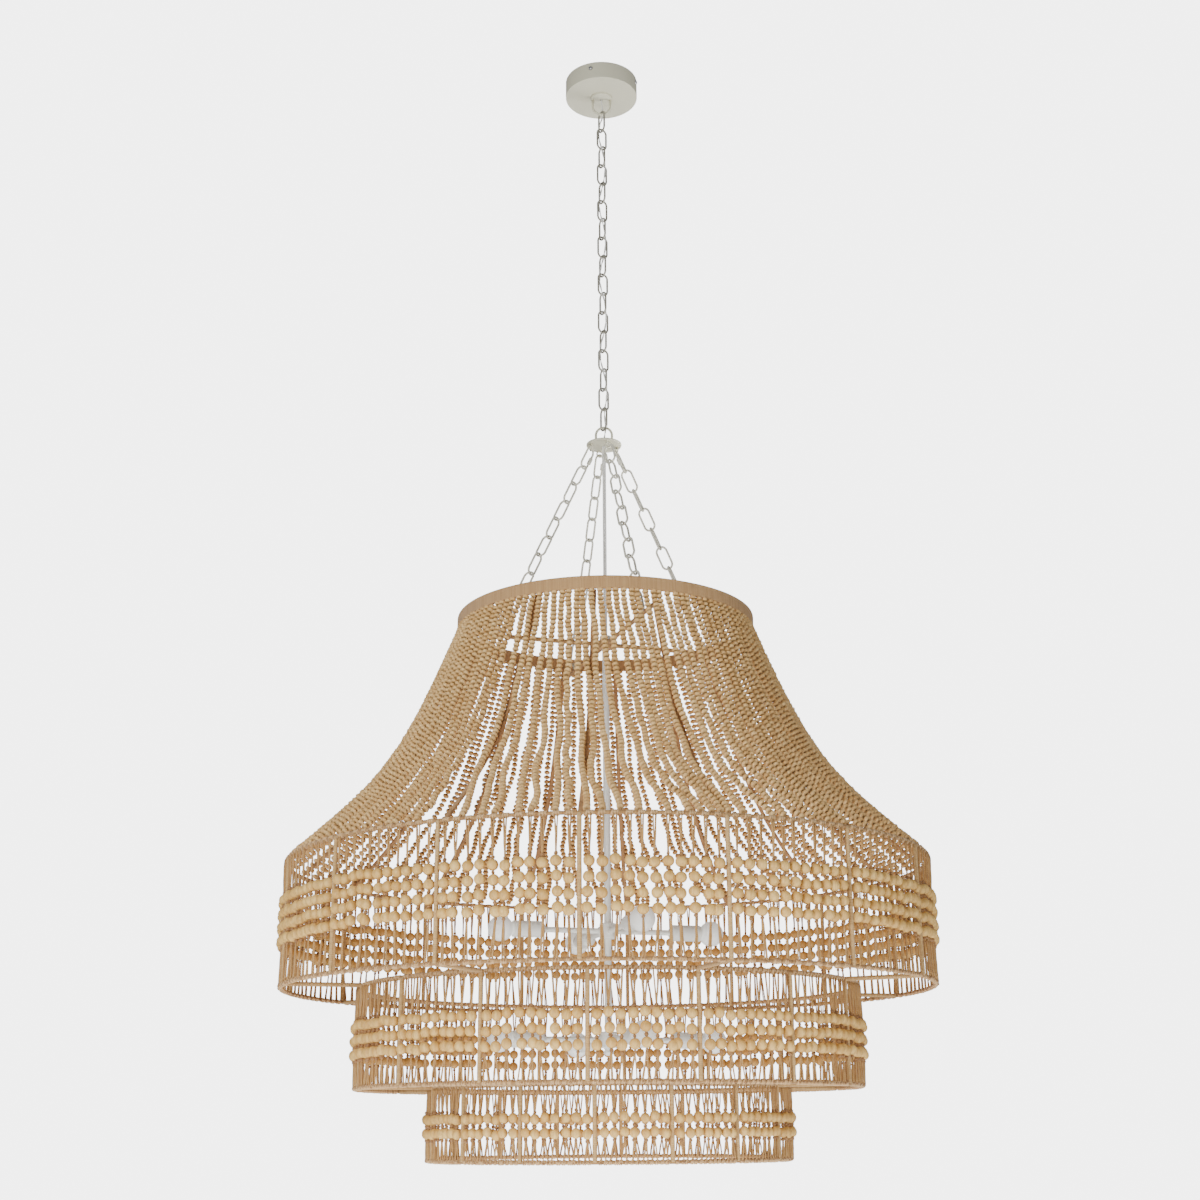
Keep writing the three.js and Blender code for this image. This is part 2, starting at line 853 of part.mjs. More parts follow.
const bulb = (degrees, level) => {
  const radius = bulbDiameter / 2;
  const centre = bulbReach - radius;
  const cap = bulbCapDiameter / 2;
  const mouth = socketStart + socketLength;
  const round = [2, 3, 4, 5].map((k) => {
    const angle = (Math.PI * k) / 6;
    return [radius * Math.sin(angle), centre - radius * Math.cos(angle)];
  });
  return onArm(
    [
      [0, mouth - socketCupDepth + clearance],
      [cap, mouth - socketCupDepth + clearance],
      [cap, mouth + clearance],
      ...round,
      [0, bulbReach],
    ],
    armFacetCount,
    degrees,
    level,
  );
};

// The whole chandelier
const chandelier = new THREE.Group();
chandelier.name = "beaded_chandelier";
const add = (name, geometry, material) => {
  const mesh = new THREE.Mesh(toGeometry(toSolid(geometry)), material);
  mesh.name = name;
  chandelier.add(mesh);
};
const two = (number) => String(number).padStart(2, "0");

add("ceiling_plate", ceilingPlate(), steel());
add("canopy", canopy(), ivoryMetal());
screwTurns.forEach((degrees, k) =>
  add(`canopy_screw_${k + 1}`, canopyScrew(degrees), ivoryMetal()),
);
add("terminal_block", terminalBlock(), plastic());
add("canopy_loop", canopyLoop(), ivoryMetal());
for (let number = 1; number <= linkCount; number++) {
  add(`chain_link_${two(number)}`, chainLink(number), ivoryMetal());
}
add("supply_cord", supplyCord(), clearCord());
add("chain_hub", chainHub(), ivoryMetal());
quarters.forEach((degrees, k) =>
  add(`lower_chain_${k + 1}`, lowerChain(degrees), ivoryMetal()),
);
add("lamp_cord", lampCord(), clearCord());
add("crown_brace", crownBrace(), raffia());
add("flare_frame", flareFrame(), raffia());
add("flare_strands", flareStrands(), smallBead());
add("tier_1_frame", tierFrame(tierOneRadius, tierOneTop, tierTwoTop), raffia());
add("tier_2_frame", tierFrame(tierTwoRadius, tierTwoTop, tierThreeTop, tierOneRadius), raffia());
add(
  "tier_3_frame",
  tierFrame(tierThreeRadius, tierThreeTop, tierThreeBottom, tierTwoRadius),
  raffia(),
);
add(
  "tier_1_beads",
  beadCurtain(tierOneRadius, tierOneTop, tierTwoTop, tierOneRowCount, tierOneRowsShare),
  wood(),
);
add(
  "tier_2_beads",
  beadCurtain(tierTwoRadius, tierTwoTop, tierThreeTop, tierTwoRowCount, tierTwoRowsShare),
  wood(),
);
add(
  "tier_3_beads",
  beadCurtain(tierThreeRadius, tierThreeTop, tierThreeBottom, tierThreeRowCount, tierThreeRowsShare),
  wood(),
);
add("lamp_stem", lampStem(), ivoryMetal());
[["upper", upperLampLevel], ["lower", lowerLampLevel]].forEach(([place, level]) => {
  add(`${place}_lamp_arms`, lampArms(level), ivoryMetal());
  for (let k = 0; k < 4; k++) {
    const degrees = lampAngle + 90 * k;
    add(`${place}_socket_${k + 1}`, socket(degrees, level), ivoryMetal());
    add(`${place}_bulb_${k + 1}`, bulb(degrees, level), frosted());
  }
});

export default chandelier;
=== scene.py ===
"""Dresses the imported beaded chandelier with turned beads, raffia strings, wrapped wire, chain and lamps."""

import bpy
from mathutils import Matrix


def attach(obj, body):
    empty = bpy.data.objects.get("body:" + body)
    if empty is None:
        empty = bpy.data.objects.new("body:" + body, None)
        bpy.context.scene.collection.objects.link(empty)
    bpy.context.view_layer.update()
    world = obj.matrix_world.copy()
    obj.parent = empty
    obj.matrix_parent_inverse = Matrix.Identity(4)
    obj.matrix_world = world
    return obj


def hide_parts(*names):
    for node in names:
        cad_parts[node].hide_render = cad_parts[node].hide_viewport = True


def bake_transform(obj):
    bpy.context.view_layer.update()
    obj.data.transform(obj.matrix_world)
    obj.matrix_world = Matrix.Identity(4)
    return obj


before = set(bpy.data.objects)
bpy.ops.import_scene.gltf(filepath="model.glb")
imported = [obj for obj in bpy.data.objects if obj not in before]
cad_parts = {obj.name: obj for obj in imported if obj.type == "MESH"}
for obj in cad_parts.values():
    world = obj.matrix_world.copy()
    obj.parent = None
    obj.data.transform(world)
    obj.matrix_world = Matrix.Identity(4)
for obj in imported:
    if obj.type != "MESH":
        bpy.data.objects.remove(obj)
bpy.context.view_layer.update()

import logging
import math
from contextlib import contextmanager
from dataclasses import dataclass, field
from enum import Enum
from typing import Any, Callable, Iterable, Iterator, Sequence

import bpy
import numpy as np
from mathutils import Matrix, Vector

LOG = logging.getLogger("chandelier")
MM = 0.001
UP = (0.0, 0.0, 1.0)
SHADE, CEILING, TOP_LINK, CHAIN, BOTTOM_LINK = "shade", "ceiling_canopy", "top_link", "chain", "bottom_link"
Colour = tuple[float, float, float]
Outline = Sequence[tuple[float, float]]
Piece = bpy.types.Object
Socket = bpy.types.NodeSocket


def polar(reach: float, degrees: float, level: float) -> np.ndarray:
    """Gives a point so far from the axis, at an angle from the front towards the right, at a level."""
    angle = math.radians(degrees)
    return np.array([reach * math.sin(angle), -reach * math.cos(angle), level])


def unit(vector: np.ndarray) -> np.ndarray:
    """Gives a vector, or each of several, the length one."""
    return vector / np.maximum(np.linalg.norm(vector, axis=-1, keepdims=True), 1e-9)


def about_z(degrees: float) -> Matrix:
    """Gives a turn about Z."""
    return Matrix.Rotation(math.radians(degrees), 4, "Z")


def shifted(point: Sequence[float]) -> Matrix:
    """Gives a move by so many millimetres."""
    return Matrix.Translation([part * MM for part in point])


# Shader building


class Graph:
    """Adds shader nodes to one node tree and wires them together."""

    def __init__(self, tree: bpy.types.NodeTree) -> None:
        """Takes the tree that the nodes go into."""
        self.tree = tree

    def feed(self, node: bpy.types.Node, values: dict[Any, Any]) -> None:
        """Sets or wires a node's inputs.

        Args:
            node: the node.
            values: input name or number against a plain value, a colour of three parts, or the socket
                that feeds it.
        """
        for key, value in values.items():
            way_in = node.inputs[key]
            if isinstance(value, Socket):
                self.tree.links.new(value, way_in)
            elif way_in.type == "RGBA":
                way_in.default_value = (*value, 1.0)
            else:
                way_in.default_value = value

    def node(self, kind: str, values: dict[Any, Any] | None = None, **settings: Any) -> bpy.types.Node:
        """Adds a node.

        Args:
            kind: Blender's name of the node type.
            values: the inputs' values, as feed takes them.
            settings: the node's own properties.

        Returns:
            The new node.
        """
        made = self.tree.nodes.new(kind)
        for name, value in settings.items():
            setattr(made, name, value)
        self.feed(made, values or {})
        return made

    def maths(self, operation: str, *values: Any) -> Socket:
        """Gives the result of a sum on numbers or sockets."""
        return self.node("ShaderNodeMath", dict(enumerate(values)), operation=operation).outputs[0]

    def vectors(self, operation: str, values: dict[Any, Any], output: str = "Vector") -> Socket:
        """Gives the result of a sum on vectors."""
        return self.node("ShaderNodeVectorMath", values, operation=operation).outputs[output]

    def remap(self, value: Any, low: float, high: float) -> Socket:
        """Stretches 0 to 1 over low to high."""
        return self.node("ShaderNodeMapRange", {0: value, 3: low, 4: high}).outputs[0]

    def share(self, value: Any, start: Any, end: Any) -> Socket:
        """Gives how far a value has come from start to end, as 0 to 1."""
        return self.node("ShaderNodeMapRange", {0: value, 1: start, 2: end}).outputs[0]

    def mix(self, share: Any, first: Any, second: Any, blend: str = "MIX") -> Socket:
        """Mixes two colours by a share and gives the colour."""
        values = {0: share, 6: first, 7: second}
        return self.node("ShaderNodeMix", values, data_type="RGBA", blend_type=blend).outputs[2]

    def noise(self, vector: Any, scale: float, detail: float = 2.0, rough: float = 0.5) -> Socket:
        """Gives the value of a noise pattern read at a vector."""
        values = {"Vector": vector, "Scale": scale, "Detail": detail, "Roughness": rough}
        return self.node("ShaderNodeTexNoise", values).outputs[0]

    def scaled(self, vector: Any, scale: tuple[float, float, float]) -> Socket:
        """Stretches a vector along its three axes."""
        return self.node("ShaderNodeMapping", {"Vector": vector, "Scale": scale}).outputs[0]

    def bumped(self, height: Any, distance: float, strength: float = 1.0) -> Socket:
        """Gives the normal of a surface raised by a height pattern."""
        values = {"Height": height, "Distance": distance, "Strength": strength}
        return self.node("ShaderNodeBump", values).outputs[0]

    def place(self) -> Socket:
        """Gives the place on the piece, in metres."""
        return self.node("ShaderNodeTexCoord").outputs["Object"]

    def own_tone(self) -> Socket:
        """Gives the colour share that a bead or a string has of its own."""
        return self.node("ShaderNodeAttribute", attribute_name="tone").outputs["Fac"]

    def own_map(self) -> tuple[Socket, Socket, Socket]:
        """Gives the piece's own UV map whole, and its two parts."""
        whole = self.node("ShaderNodeUVMap", uv_map="UVMap").outputs[0]
        return whole, *self.node("ShaderNodeSeparateXYZ", {0: whole}).outputs[:2]

    def pattern(self, build: Callable[["Graph", Any], dict[str, Socket]], **values: float) -> list[Socket]:
        """Adds a pattern as a node group, which is made on its first use.

        Args:
            build: fills the group's graph from its inputs, by name, and gives its outputs by name.
            values: the inputs' values.

        Returns:
            The pattern's outputs, in order.
        """
        tree = bpy.data.node_groups.get(build.__name__)
        if not tree:
            tree = bpy.data.node_groups.new(build.__name__, "ShaderNodeTree")
            for title in values:
                tree.interface.new_socket(title, in_out="INPUT", socket_type="NodeSocketFloat")
            inside = Graph(tree)
            made = build(inside, inside.node("NodeGroupInput").outputs)
            for title in made:
                tree.interface.new_socket(title, in_out="OUTPUT", socket_type="NodeSocketFloat")
            inside.node("NodeGroupOutput", made)
        return list(self.node("ShaderNodeGroup", values, node_tree=tree).outputs)


# Patterns


def raffia_turns(graph: Graph, given: Any) -> dict[str, Socket]:
    """Makes raffia wound turn by turn round a rod, read along the piece's own UV map.

    Args:
        graph: the group's graph.
        given: its inputs, the pitch of the turns in metres and the lean of a turn over its round.

    Returns:
        The height over a turn, the turn's own shade and its fibres.
    """
    uv, along, around = graph.own_map()
    drift = graph.noise(graph.scaled(uv, (60.0, 3.0, 1.0)), scale=1.0)
    turns = graph.maths("ADD", graph.maths("DIVIDE", along, given["pitch"]), drift)
    turns = graph.maths("MULTIPLY_ADD", around, given["lean"], turns)
    number = graph.maths("FLOOR", turns)
    place = graph.maths("MULTIPLY_ADD", graph.maths("FRACT", turns), 2.0, -1.0)
    height = graph.maths("SUBTRACT", 1.0, graph.maths("MULTIPLY", place, place))
    tone = graph.node("ShaderNodeTexWhiteNoise", {"W": number}, noise_dimensions="1D").outputs[0]
    streaks_in_turn = 7.0
    across = graph.maths("MULTIPLY", turns, streaks_in_turn)
    streak = graph.node("ShaderNodeCombineXYZ", {0: across, 1: around, 2: number}).outputs[0]
    fibre = graph.noise(graph.scaled(streak, (1.0, 5.0, 3.0)), scale=1.0, detail=3.0, rough=0.6)
    return {"height": height, "tone": tone, "fibre": fibre}


def turned_grain(graph: Graph, given: Any) -> dict[str, Socket]:
    """Makes the grain of a turned bead, different on each bead, and the mask of painted shade towards its
    holes, where it meets the next bead.

    Args:
        graph: the group's graph.
        given: its inputs, the grain's fineness and how far from a bead's middle the painted shade towards its
            holes starts.

    Returns:
        The grain's lines and pores, the mask of the painted shade towards the holes, and the bead's own tone.
    """
    tone = graph.own_tone()
    offset = graph.node("ShaderNodeCombineXYZ", {0: tone, 1: tone, 2: tone}).outputs[0]
    moved = graph.vectors("ADD", {0: graph.place(), 1: offset})
    sized = graph.vectors("SCALE", {0: moved, "Scale": given["grain"]})
    bent = graph.noise(graph.scaled(sized, (1.0, 1.0, 0.3)), scale=1.0, detail=3.0, rough=0.55)
    lines_in_bend = 34.0
    lines = graph.maths("SINE", graph.maths("MULTIPLY", bent, lines_in_bend))
    lines = graph.maths("MULTIPLY_ADD", lines, 0.5, 0.5)
    pores = graph.noise(graph.scaled(sized, (5.0, 5.0, 0.9)), scale=1.0, detail=2.0, rough=0.7)
    # mask of painted shade, growing towards the bead's poles
    height = graph.own_map()[2]
    out = graph.maths("ABSOLUTE", graph.maths("SUBTRACT", height, 0.5))
    hole = graph.share(out, given["hole_start"], 0.5)
    return {"lines": lines, "pores": pores, "hole": hole, "tone": tone}


def painted_bounce_side(graph: Graph, given: Any) -> dict[str, Socket]:
    """Makes the share by which a surface faces the chandelier's axis: the mask of a painted bounce light,
    standing in for light that comes from other beads.

    Args:
        graph: the group's graph.
        given: its input, how far a surface still faces outwards where the share starts.

    Returns:
        The share.
    """
    coordinates = graph.node("ShaderNodeTexCoord").outputs
    flat = graph.vectors("MULTIPLY", {0: coordinates["Object"], 1: (1, 1, 0)})
    out = graph.vectors("NORMALIZE", {0: flat})
    facing = graph.vectors("DOT_PRODUCT", {0: out, 1: coordinates["Normal"]}, "Value")
    return {"inside": graph.share(facing, given["start"], -1.0)}


def brushed_paint(graph: Graph, given: Any) -> dict[str, Socket]:
    """Makes the uneven look of brushed-on paint.

    Args:
        graph: the group's graph.
        given: its input, the wear.

    Returns:
        The cloudy tone, the brush marks and the thin spots.
    """
    place = graph.place()
    cloud = graph.noise(place, scale=14.0, detail=4.0, rough=0.6)
    grain = graph.noise(graph.scaled(place, (1.0, 1.0, 0.25)), scale=900.0, detail=2.0, rough=0.6)
    spots = graph.noise(place, scale=130.0, detail=5.0, rough=0.7)
    low = graph.maths("SUBTRACT", 1.0, given["wear"])
    fade = 0.12
    thin = graph.share(spots, low, graph.maths("ADD", low, fade))
    return {"cloud": cloud, "grain": grain, "thin": thin}


def with_painted_bounce(graph: Graph, colour: Any, amount: float) -> Socket:
    """Paints bounce light: makes a colour warmer and deeper on the side towards the axis, where light
    reflected from the other beads would fall.

    Args:
        graph: the material's graph.
        colour: the colour.
        amount: how much of the change is taken.

    Returns:
        The changed colour.
    """
    # painted bounce light: the warm colour of light reflected from the other beads
    painted_bounce_colour = (0.80, 0.52, 0.30)
    inside = graph.pattern(painted_bounce_side, start=0.3)[0]
    return graph.mix(graph.maths("MULTIPLY", inside, amount), colour, painted_bounce_colour, "MULTIPLY")


def deepened(colour: Colour, share: float) -> Colour:
    """Gives a darker colour."""
    return tuple(share * part for part in colour)


# Finishes


class Skin:
    """A finish that lays its pattern on one principled shader."""

    def surface(self, graph: Graph) -> dict[str, Any]:
        """Gives the shader's inputs, each a value or a socket of the graph."""
        raise NotImplementedError

    def material(self, name: str) -> bpy.types.Material:
        """Makes the material.

        Args:
            name: its name.

        Returns:
            The material.
        """
        made = bpy.data.materials.new(name)
        made.use_nodes = True
        made.node_tree.nodes.clear()
        graph = Graph(made.node_tree)
        shader = graph.node("ShaderNodeBsdfPrincipled")
        graph.node("ShaderNodeOutputMaterial", {"Surface": shader.outputs[0]})
        graph.feed(shader, self.surface(graph))
        return made


@dataclass(frozen=True)
class Paint(Skin):
    """Ivory or silvery paint on metal."""

    light: Colour
    dark: Colour
    bare: Colour
    roughness: float
    metallic: float
    wear: float
    bare_share: float = 0.7
    brush_gloss: float = 0.25
    least_gloss: float = 0.12

    def surface(self, graph: Graph) -> dict[str, Any]:
        """Brushes the paint on, with its thin spots.

        Args:
            graph: the material's graph.

        Returns:
            The shader's inputs.
        """
        cloud, grain, thin = graph.pattern(brushed_paint, wear=self.wear)
        colour = graph.mix(cloud, self.light, self.dark)
        least = self.roughness - self.least_gloss
        return {
            "Base Color": graph.mix(graph.maths("MULTIPLY", thin, self.bare_share), colour, self.bare),
            "Roughness": graph.maths("MULTIPLY_ADD", grain, self.brush_gloss, least),
            "Metallic": self.metallic,
            "Normal": graph.bumped(graph.maths("ADD", grain, cloud), distance=0.00008, strength=0.2),
        }


@dataclass(frozen=True)
class Raffia(Skin):
    """Raffia wound round a rod, or twisted into string, with its pitch and relief in millimetres."""

    light: Colour
    dark: Colour
    pitch: float
    lean: float
    relief: float
    turn_share: float = 0.3
    fibre_share: float = 0.45
    own_share: float = 0.3
    crease_shade_share: float = 0.6

    def surface(self, graph: Graph) -> dict[str, Any]:
        """Winds the raffia, with its fibres and painted shade in the creases between the turns.

        Args:
            graph: the material's graph.

        Returns:
            The shader's inputs.
        """
        height, tone, fibre = graph.pattern(raffia_turns, pitch=self.pitch * MM, lean=self.lean)
        shade = graph.maths("MULTIPLY", tone, self.turn_share)
        shade = graph.maths("ADD", shade, graph.maths("MULTIPLY", fibre, self.fibre_share))
        shade = graph.maths("MULTIPLY_ADD", graph.own_tone(), self.own_share, shade)
        colour = graph.mix(shade, self.light, self.dark)
        # painted shade: each turn darkens towards its edges, in the creases where shade falls
        crease_shade = graph.maths("POWER", graph.maths("SUBTRACT", 1.0, height), 4.0)
        crease_shade = graph.maths("MULTIPLY", crease_shade, self.crease_shade_share)
        colour = graph.mix(crease_shade, colour, deepened(self.dark, 0.45))
        relief = graph.maths("MULTIPLY_ADD", fibre, 0.5, height)
        return {
            # painted warm bounce light on the side towards the axis
            "Base Color": with_painted_bounce(graph, colour, amount=0.5),
            "Roughness": graph.remap(fibre, low=0.62, high=0.92),
            "Sheen Weight": 0.15,
            "Normal": graph.bumped(relief, distance=self.relief * MM),
        }


@dataclass(frozen=True)
class TurnedWood(Skin):
    """Pale turned wood, waxed to a slight sheen."""

    light: Colour
    middle: Colour
    dark: Colour
    grain: float
    hole_start: float
    grain_share: float = 0.9
    hole_shade_share: float = 0.95

    def surface(self, graph: Graph) -> dict[str, Any]:
        """Grains the wood and paints shade towards the holes, where the beads meet.

        Args:
            graph: the material's graph.

        Returns:
            The shader's inputs.
        """
        lines, pores, hole, tone = graph.pattern(turned_grain, grain=self.grain, hole_start=self.hole_start)
        colour = graph.mix(tone, self.light, self.middle)
        grain = graph.maths("MULTIPLY", lines, graph.remap(pores, low=0.1, high=0.75))
        colour = graph.mix(graph.maths("MULTIPLY", grain, self.grain_share), colour, self.dark)
        # painted shade: each bead darkens towards its holes, where the beads meet and shade falls
        hole = graph.maths("MULTIPLY", hole, self.hole_shade_share)
        colour = graph.mix(hole, colour, deepened(self.dark, 0.3))
        height = graph.maths("MULTIPLY_ADD", grain, -0.6, pores)
        return {
            # painted warm bounce light on the side towards the axis
            "Base Color": with_painted_bounce(graph, colour, amount=0.65),
            "Roughness": graph.remap(pores, low=0.42, high=0.66),
            "Normal": graph.bumped(height, distance=0.0002, strength=0.7),
        }


@dataclass(frozen=True)
class ClearSheath(Skin):
    """A clear sheath over silvery stranded wires, with the strands' pitch in millimetres."""

    light: Colour
    dark: Colour
    pitch: float = 2.2
    lean: float = 4.0

    def surface(self, graph: Graph) -> dict[str, Any]:
        """Shows the strands through the sheath.

        Args:
            graph: the material's graph.

        Returns:
            The shader's inputs.
        """
        height, tone, fibre = graph.pattern(raffia_turns, pitch=self.pitch * MM, lean=self.lean)
        return {
            "Base Color": graph.mix(graph.maths("MULTIPLY", height, 0.8), self.dark, self.light),
            "Roughness": graph.remap(fibre, low=0.18, high=0.34),
            "Metallic": 0.15,
            "Coat Weight": 0.5,
            "Coat Roughness": 0.2,
            "Normal": graph.bumped(graph.maths("ADD", height, tone), distance=0.00004, strength=0.3),
        }


@dataclass(frozen=True)
class FrostedGlass(Skin):
    """White frosted glass of an unlit globe, with a painted glow that stands in for the daylight passing
    through it.
    """

    light: Colour
    dark: Colour
    passing: float

    def surface(self, graph: Graph) -> dict[str, Any]:
        """Frosts the glass and gives it its painted glow.

        Args:
            graph: the material's graph.

        Returns:
            The shader's inputs.
        """
        place = graph.place()
        frost = graph.noise(place, scale=1800.0, detail=2.0, rough=0.7)
        cloud = graph.noise(place, scale=30.0, detail=3.0, rough=0.6)
        return {
            "Base Color": graph.mix(cloud, self.light, self.dark),
            "Roughness": graph.remap(frost, low=0.3, high=0.48),
            "Coat Weight": 0.25,
            "Coat Roughness": 0.3,
            # painted glow: the unlit globe emits light in place of daylight passing through it
            "Emission Color": self.light,
            "Emission Strength": self.passing,
            "Normal": graph.bumped(frost, distance=0.00004, strength=0.4),
        }


@dataclass(frozen=True)
class MouldedPlastic(Skin):
    """Matt moulded plastic with a fine spark-eroded grain."""

    light: Colour
    dark: Colour

    def surface(self, graph: Graph) -> dict[str, Any]:
        """Grains the plastic.

        Args:
            graph: the material's graph.

        Returns:
            The shader's inputs.
        """
        place = graph.place()
        grain = graph.noise(place, scale=1500.0, detail=2.0, rough=0.6)
        cloud = graph.noise(place, scale=40.0, detail=3.0, rough=0.5)
        return {
            "Base Color": graph.mix(cloud, self.light, self.dark),
            "Roughness": graph.remap(grain, low=0.45, high=0.62),
            "Normal": graph.bumped(grain, distance=0.00005, strength=0.5),
        }


@dataclass(frozen=True)
class FloorPaint(Skin):
    """Matt paint of the studio's floor, evenly lit."""

    shade: Colour
    glow: float

    def surface(self, graph: Graph) -> dict[str, Any]:
        """Paints the floor.

        Args:
            graph: the material's graph.

        Returns:
            The shader's inputs.
        """
        seen = graph.node("ShaderNodeLightPath").outputs["Is Camera Ray"]
        return {
            "Base Color": deepened(self.shade, 0.9),
            "Roughness": 0.9,
            "Emission Color": self.shade,
            "Emission Strength": graph.maths("MULTIPLY", seen, self.glow),
        }


class Finish(Enum):
    """The chandelier's finishes: the material slot, and the skin."""

    IVORY = ("ivory_metal", Paint(
        light=(0.65, 0.63, 0.485), dark=(0.59, 0.57, 0.43), bare=(0.43, 0.41, 0.31),
        roughness=0.46, metallic=0.05, wear=0.15,
    ))
    PALE_CHAIN = ("chain_metal", Paint(
        light=(0.72, 0.70, 0.59), dark=(0.58, 0.56, 0.46), bare=(0.30, 0.28, 0.22),
        roughness=0.42, metallic=0.05, wear=0.2,
    ))
    CHAIN = ("chain_metal", Paint(
        light=(0.36, 0.345, 0.29), dark=(0.22, 0.21, 0.17), bare=(0.12, 0.11, 0.09),
        roughness=0.4, metallic=0.2, wear=0.4,
    ))
    LAMP = ("lamp_metal", Paint(
        light=(0.93, 0.94, 0.88), dark=(0.88, 0.89, 0.82), bare=(0.66, 0.65, 0.58),
        roughness=0.42, metallic=0.0, wear=0.15,
    ))
    STEEL = ("bracket_steel", Paint(
        light=(0.50, 0.50, 0.50), dark=(0.36, 0.36, 0.36), bare=(0.26, 0.25, 0.22),
        roughness=0.34, metallic=0.9, wear=0.35,
    ))
    WRAP = ("raffia_wrap", Raffia(
        light=(0.72, 0.45, 0.20), dark=(0.36, 0.17, 0.05), pitch=1.5, lean=1.0, relief=0.5,
    ))
    ROD = ("raffia_wrap", Raffia(
        light=(0.90, 0.61, 0.255), dark=(0.38, 0.19, 0.06), pitch=1.5, lean=1.0, relief=0.5,
    ))
    RIB = ("raffia_wrap", Raffia(
        light=(0.52, 0.31, 0.14), dark=(0.34, 0.17, 0.06), pitch=30.0, lean=0.0, relief=0.05,
    ))
    STRING = ("raffia_wrap", Raffia(
        light=(0.74, 0.455, 0.16), dark=(0.42, 0.20, 0.055), pitch=3.2, lean=2.0, relief=0.6,
    ))
    # painted highlight: the string's raffia, made paler where it loops round the rings
    LOOP = ("raffia_wrap", Raffia(
        light=(0.84, 0.58, 0.29), dark=(0.55, 0.31, 0.12), pitch=3.2, lean=2.0, relief=0.6,
    ))
    KNOT = ("raffia_wrap", Raffia(
        light=(0.54, 0.295, 0.115), dark=(0.29, 0.135, 0.045), pitch=300.0, lean=0.0, relief=0.5,
    ))
    SMALL_BEADS = ("small_beads", TurnedWood(
        light=(0.96, 0.66, 0.285), middle=(0.74, 0.445, 0.154), dark=(0.42, 0.20, 0.055),
        grain=95.0, hole_start=0.12,
    ))
    BEADS = ("wood_beads", TurnedWood(
        light=(0.87, 0.58, 0.19), middle=(0.72, 0.425, 0.11), dark=(0.42, 0.205, 0.045),
        grain=60.0, hole_start=0.36,
    ))
    CORD = ("clear_cord", ClearSheath(light=(0.86, 0.85, 0.81), dark=(0.66, 0.65, 0.61)))
    # passing is the strength of the glass's painted glow
    GLASS = ("frosted_glass", FrostedGlass(light=(0.95, 0.96, 0.92), dark=(0.90, 0.91, 0.87), passing=0.3))
    PLASTIC = ("terminal_plastic", MouldedPlastic(light=(0.76, 0.74, 0.68), dark=(0.66, 0.64, 0.58)))

    @property
    def slot(self) -> str:
        """The material slot."""
        return self.value[0]

    def material(self) -> bpy.types.Material:
        """Makes the material once and gives it from then on."""
        name = f"{self.name.lower()}_finish"
        return bpy.data.materials.get(name) or self.value[1].material(name)


# Mesh building


def shown(name: str, data: bpy.types.ID) -> Piece:
    """Puts a mesh, a curve, a camera or a lamp into the scene.

    Args:
        name: its object's name.
        data: the mesh, curve, camera or lamp.

    Returns:
        The object.
    """
    made = bpy.data.objects.new(name, data)
    bpy.context.scene.collection.objects.link(made)
    return made


def alone(piece: Piece) -> None:
    """Makes one piece active and the only one selected.

    Args:
        piece: the piece.
    """
    bpy.ops.object.select_all(action="DESELECT")
    piece.select_set(True)
    bpy.context.view_layer.objects.active = piece


@contextmanager
def editing(piece: Piece) -> Iterator[None]:
    """Opens a piece in edit mode with all of it selected, and closes it at the end.

    Args:
        piece: the piece.

    Returns:
        Nothing for the time between.
    """
    alone(piece)
    bpy.ops.object.mode_set(mode="EDIT")
    bpy.ops.mesh.select_all(action="SELECT")
    yield
    bpy.ops.object.mode_set(mode="OBJECT")


def pulled(piece: Piece, chosen: Callable[[Vector], bool], shift: Sequence[float]) -> None:
    """Moves some of a piece's vertices in edit mode.

    Args:
        piece: the piece.
        chosen: tells of a place whether the vertex there moves.
        shift: the move, in metres.
    """
    with editing(piece):
        bpy.ops.mesh.select_all(action="DESELECT")
    for vertex in piece.data.vertices:
        vertex.select = chosen(vertex.co)
    bpy.ops.object.mode_set(mode="EDIT")
    bpy.ops.transform.translate(value=shift)
    bpy.ops.object.mode_set(mode="OBJECT")


def mapped(mesh: bpy.types.Mesh, uvs: np.ndarray, tones: np.ndarray) -> None:
    """Gives a mesh its UV map and its colour shares, and shades it smooth.

    Args:
        mesh: the mesh.
        uvs: two parts for each face corner.
        tones: a share for each vertex.
    """
    mesh.uv_layers.new(name="UVMap").data.foreach_set("uv", uvs.astype(np.float32).ravel())
    mesh.attributes.new("tone", "FLOAT", "POINT").data.foreach_set("value", tones.astype(np.float32))
    mesh.polygons.foreach_set("use_smooth", np.ones(len(mesh.polygons), bool))


@dataclass
class Shape:
    """A small mesh kept as arrays, to be stamped many times."""

    points: np.ndarray
    corners: np.ndarray
    sizes: np.ndarray
    uvs: np.ndarray

    @classmethod
    def taken_from(cls, piece: Piece) -> "Shape":
        """Reads a modelled piece and removes it from the scene.

        Args:
            piece: the piece.

        Returns:
            Its shape.
        """
        mesh = piece.data
        points = np.array([v.co for v in mesh.vertices], float)
        corners = np.array([k for f in mesh.polygons for k in f.vertices], int)
        sizes = np.array([len(f.vertices) for f in mesh.polygons], int)
        uvs = np.array([d.uv for d in mesh.uv_layers.active.data], float)
        bpy.data.objects.remove(piece)
        return cls(points, corners, sizes, uvs)


def travelled(path: np.ndarray, closed: bool = False) -> np.ndarray:
    """Gives how far along a path each point lies, and at the end of a closed one its whole length too."""
    line = np.vstack([path, path[:1]]) if closed else path
    return np.concatenate([[0.0], np.cumsum(np.linalg.norm(np.diff(line, axis=0), axis=1))])


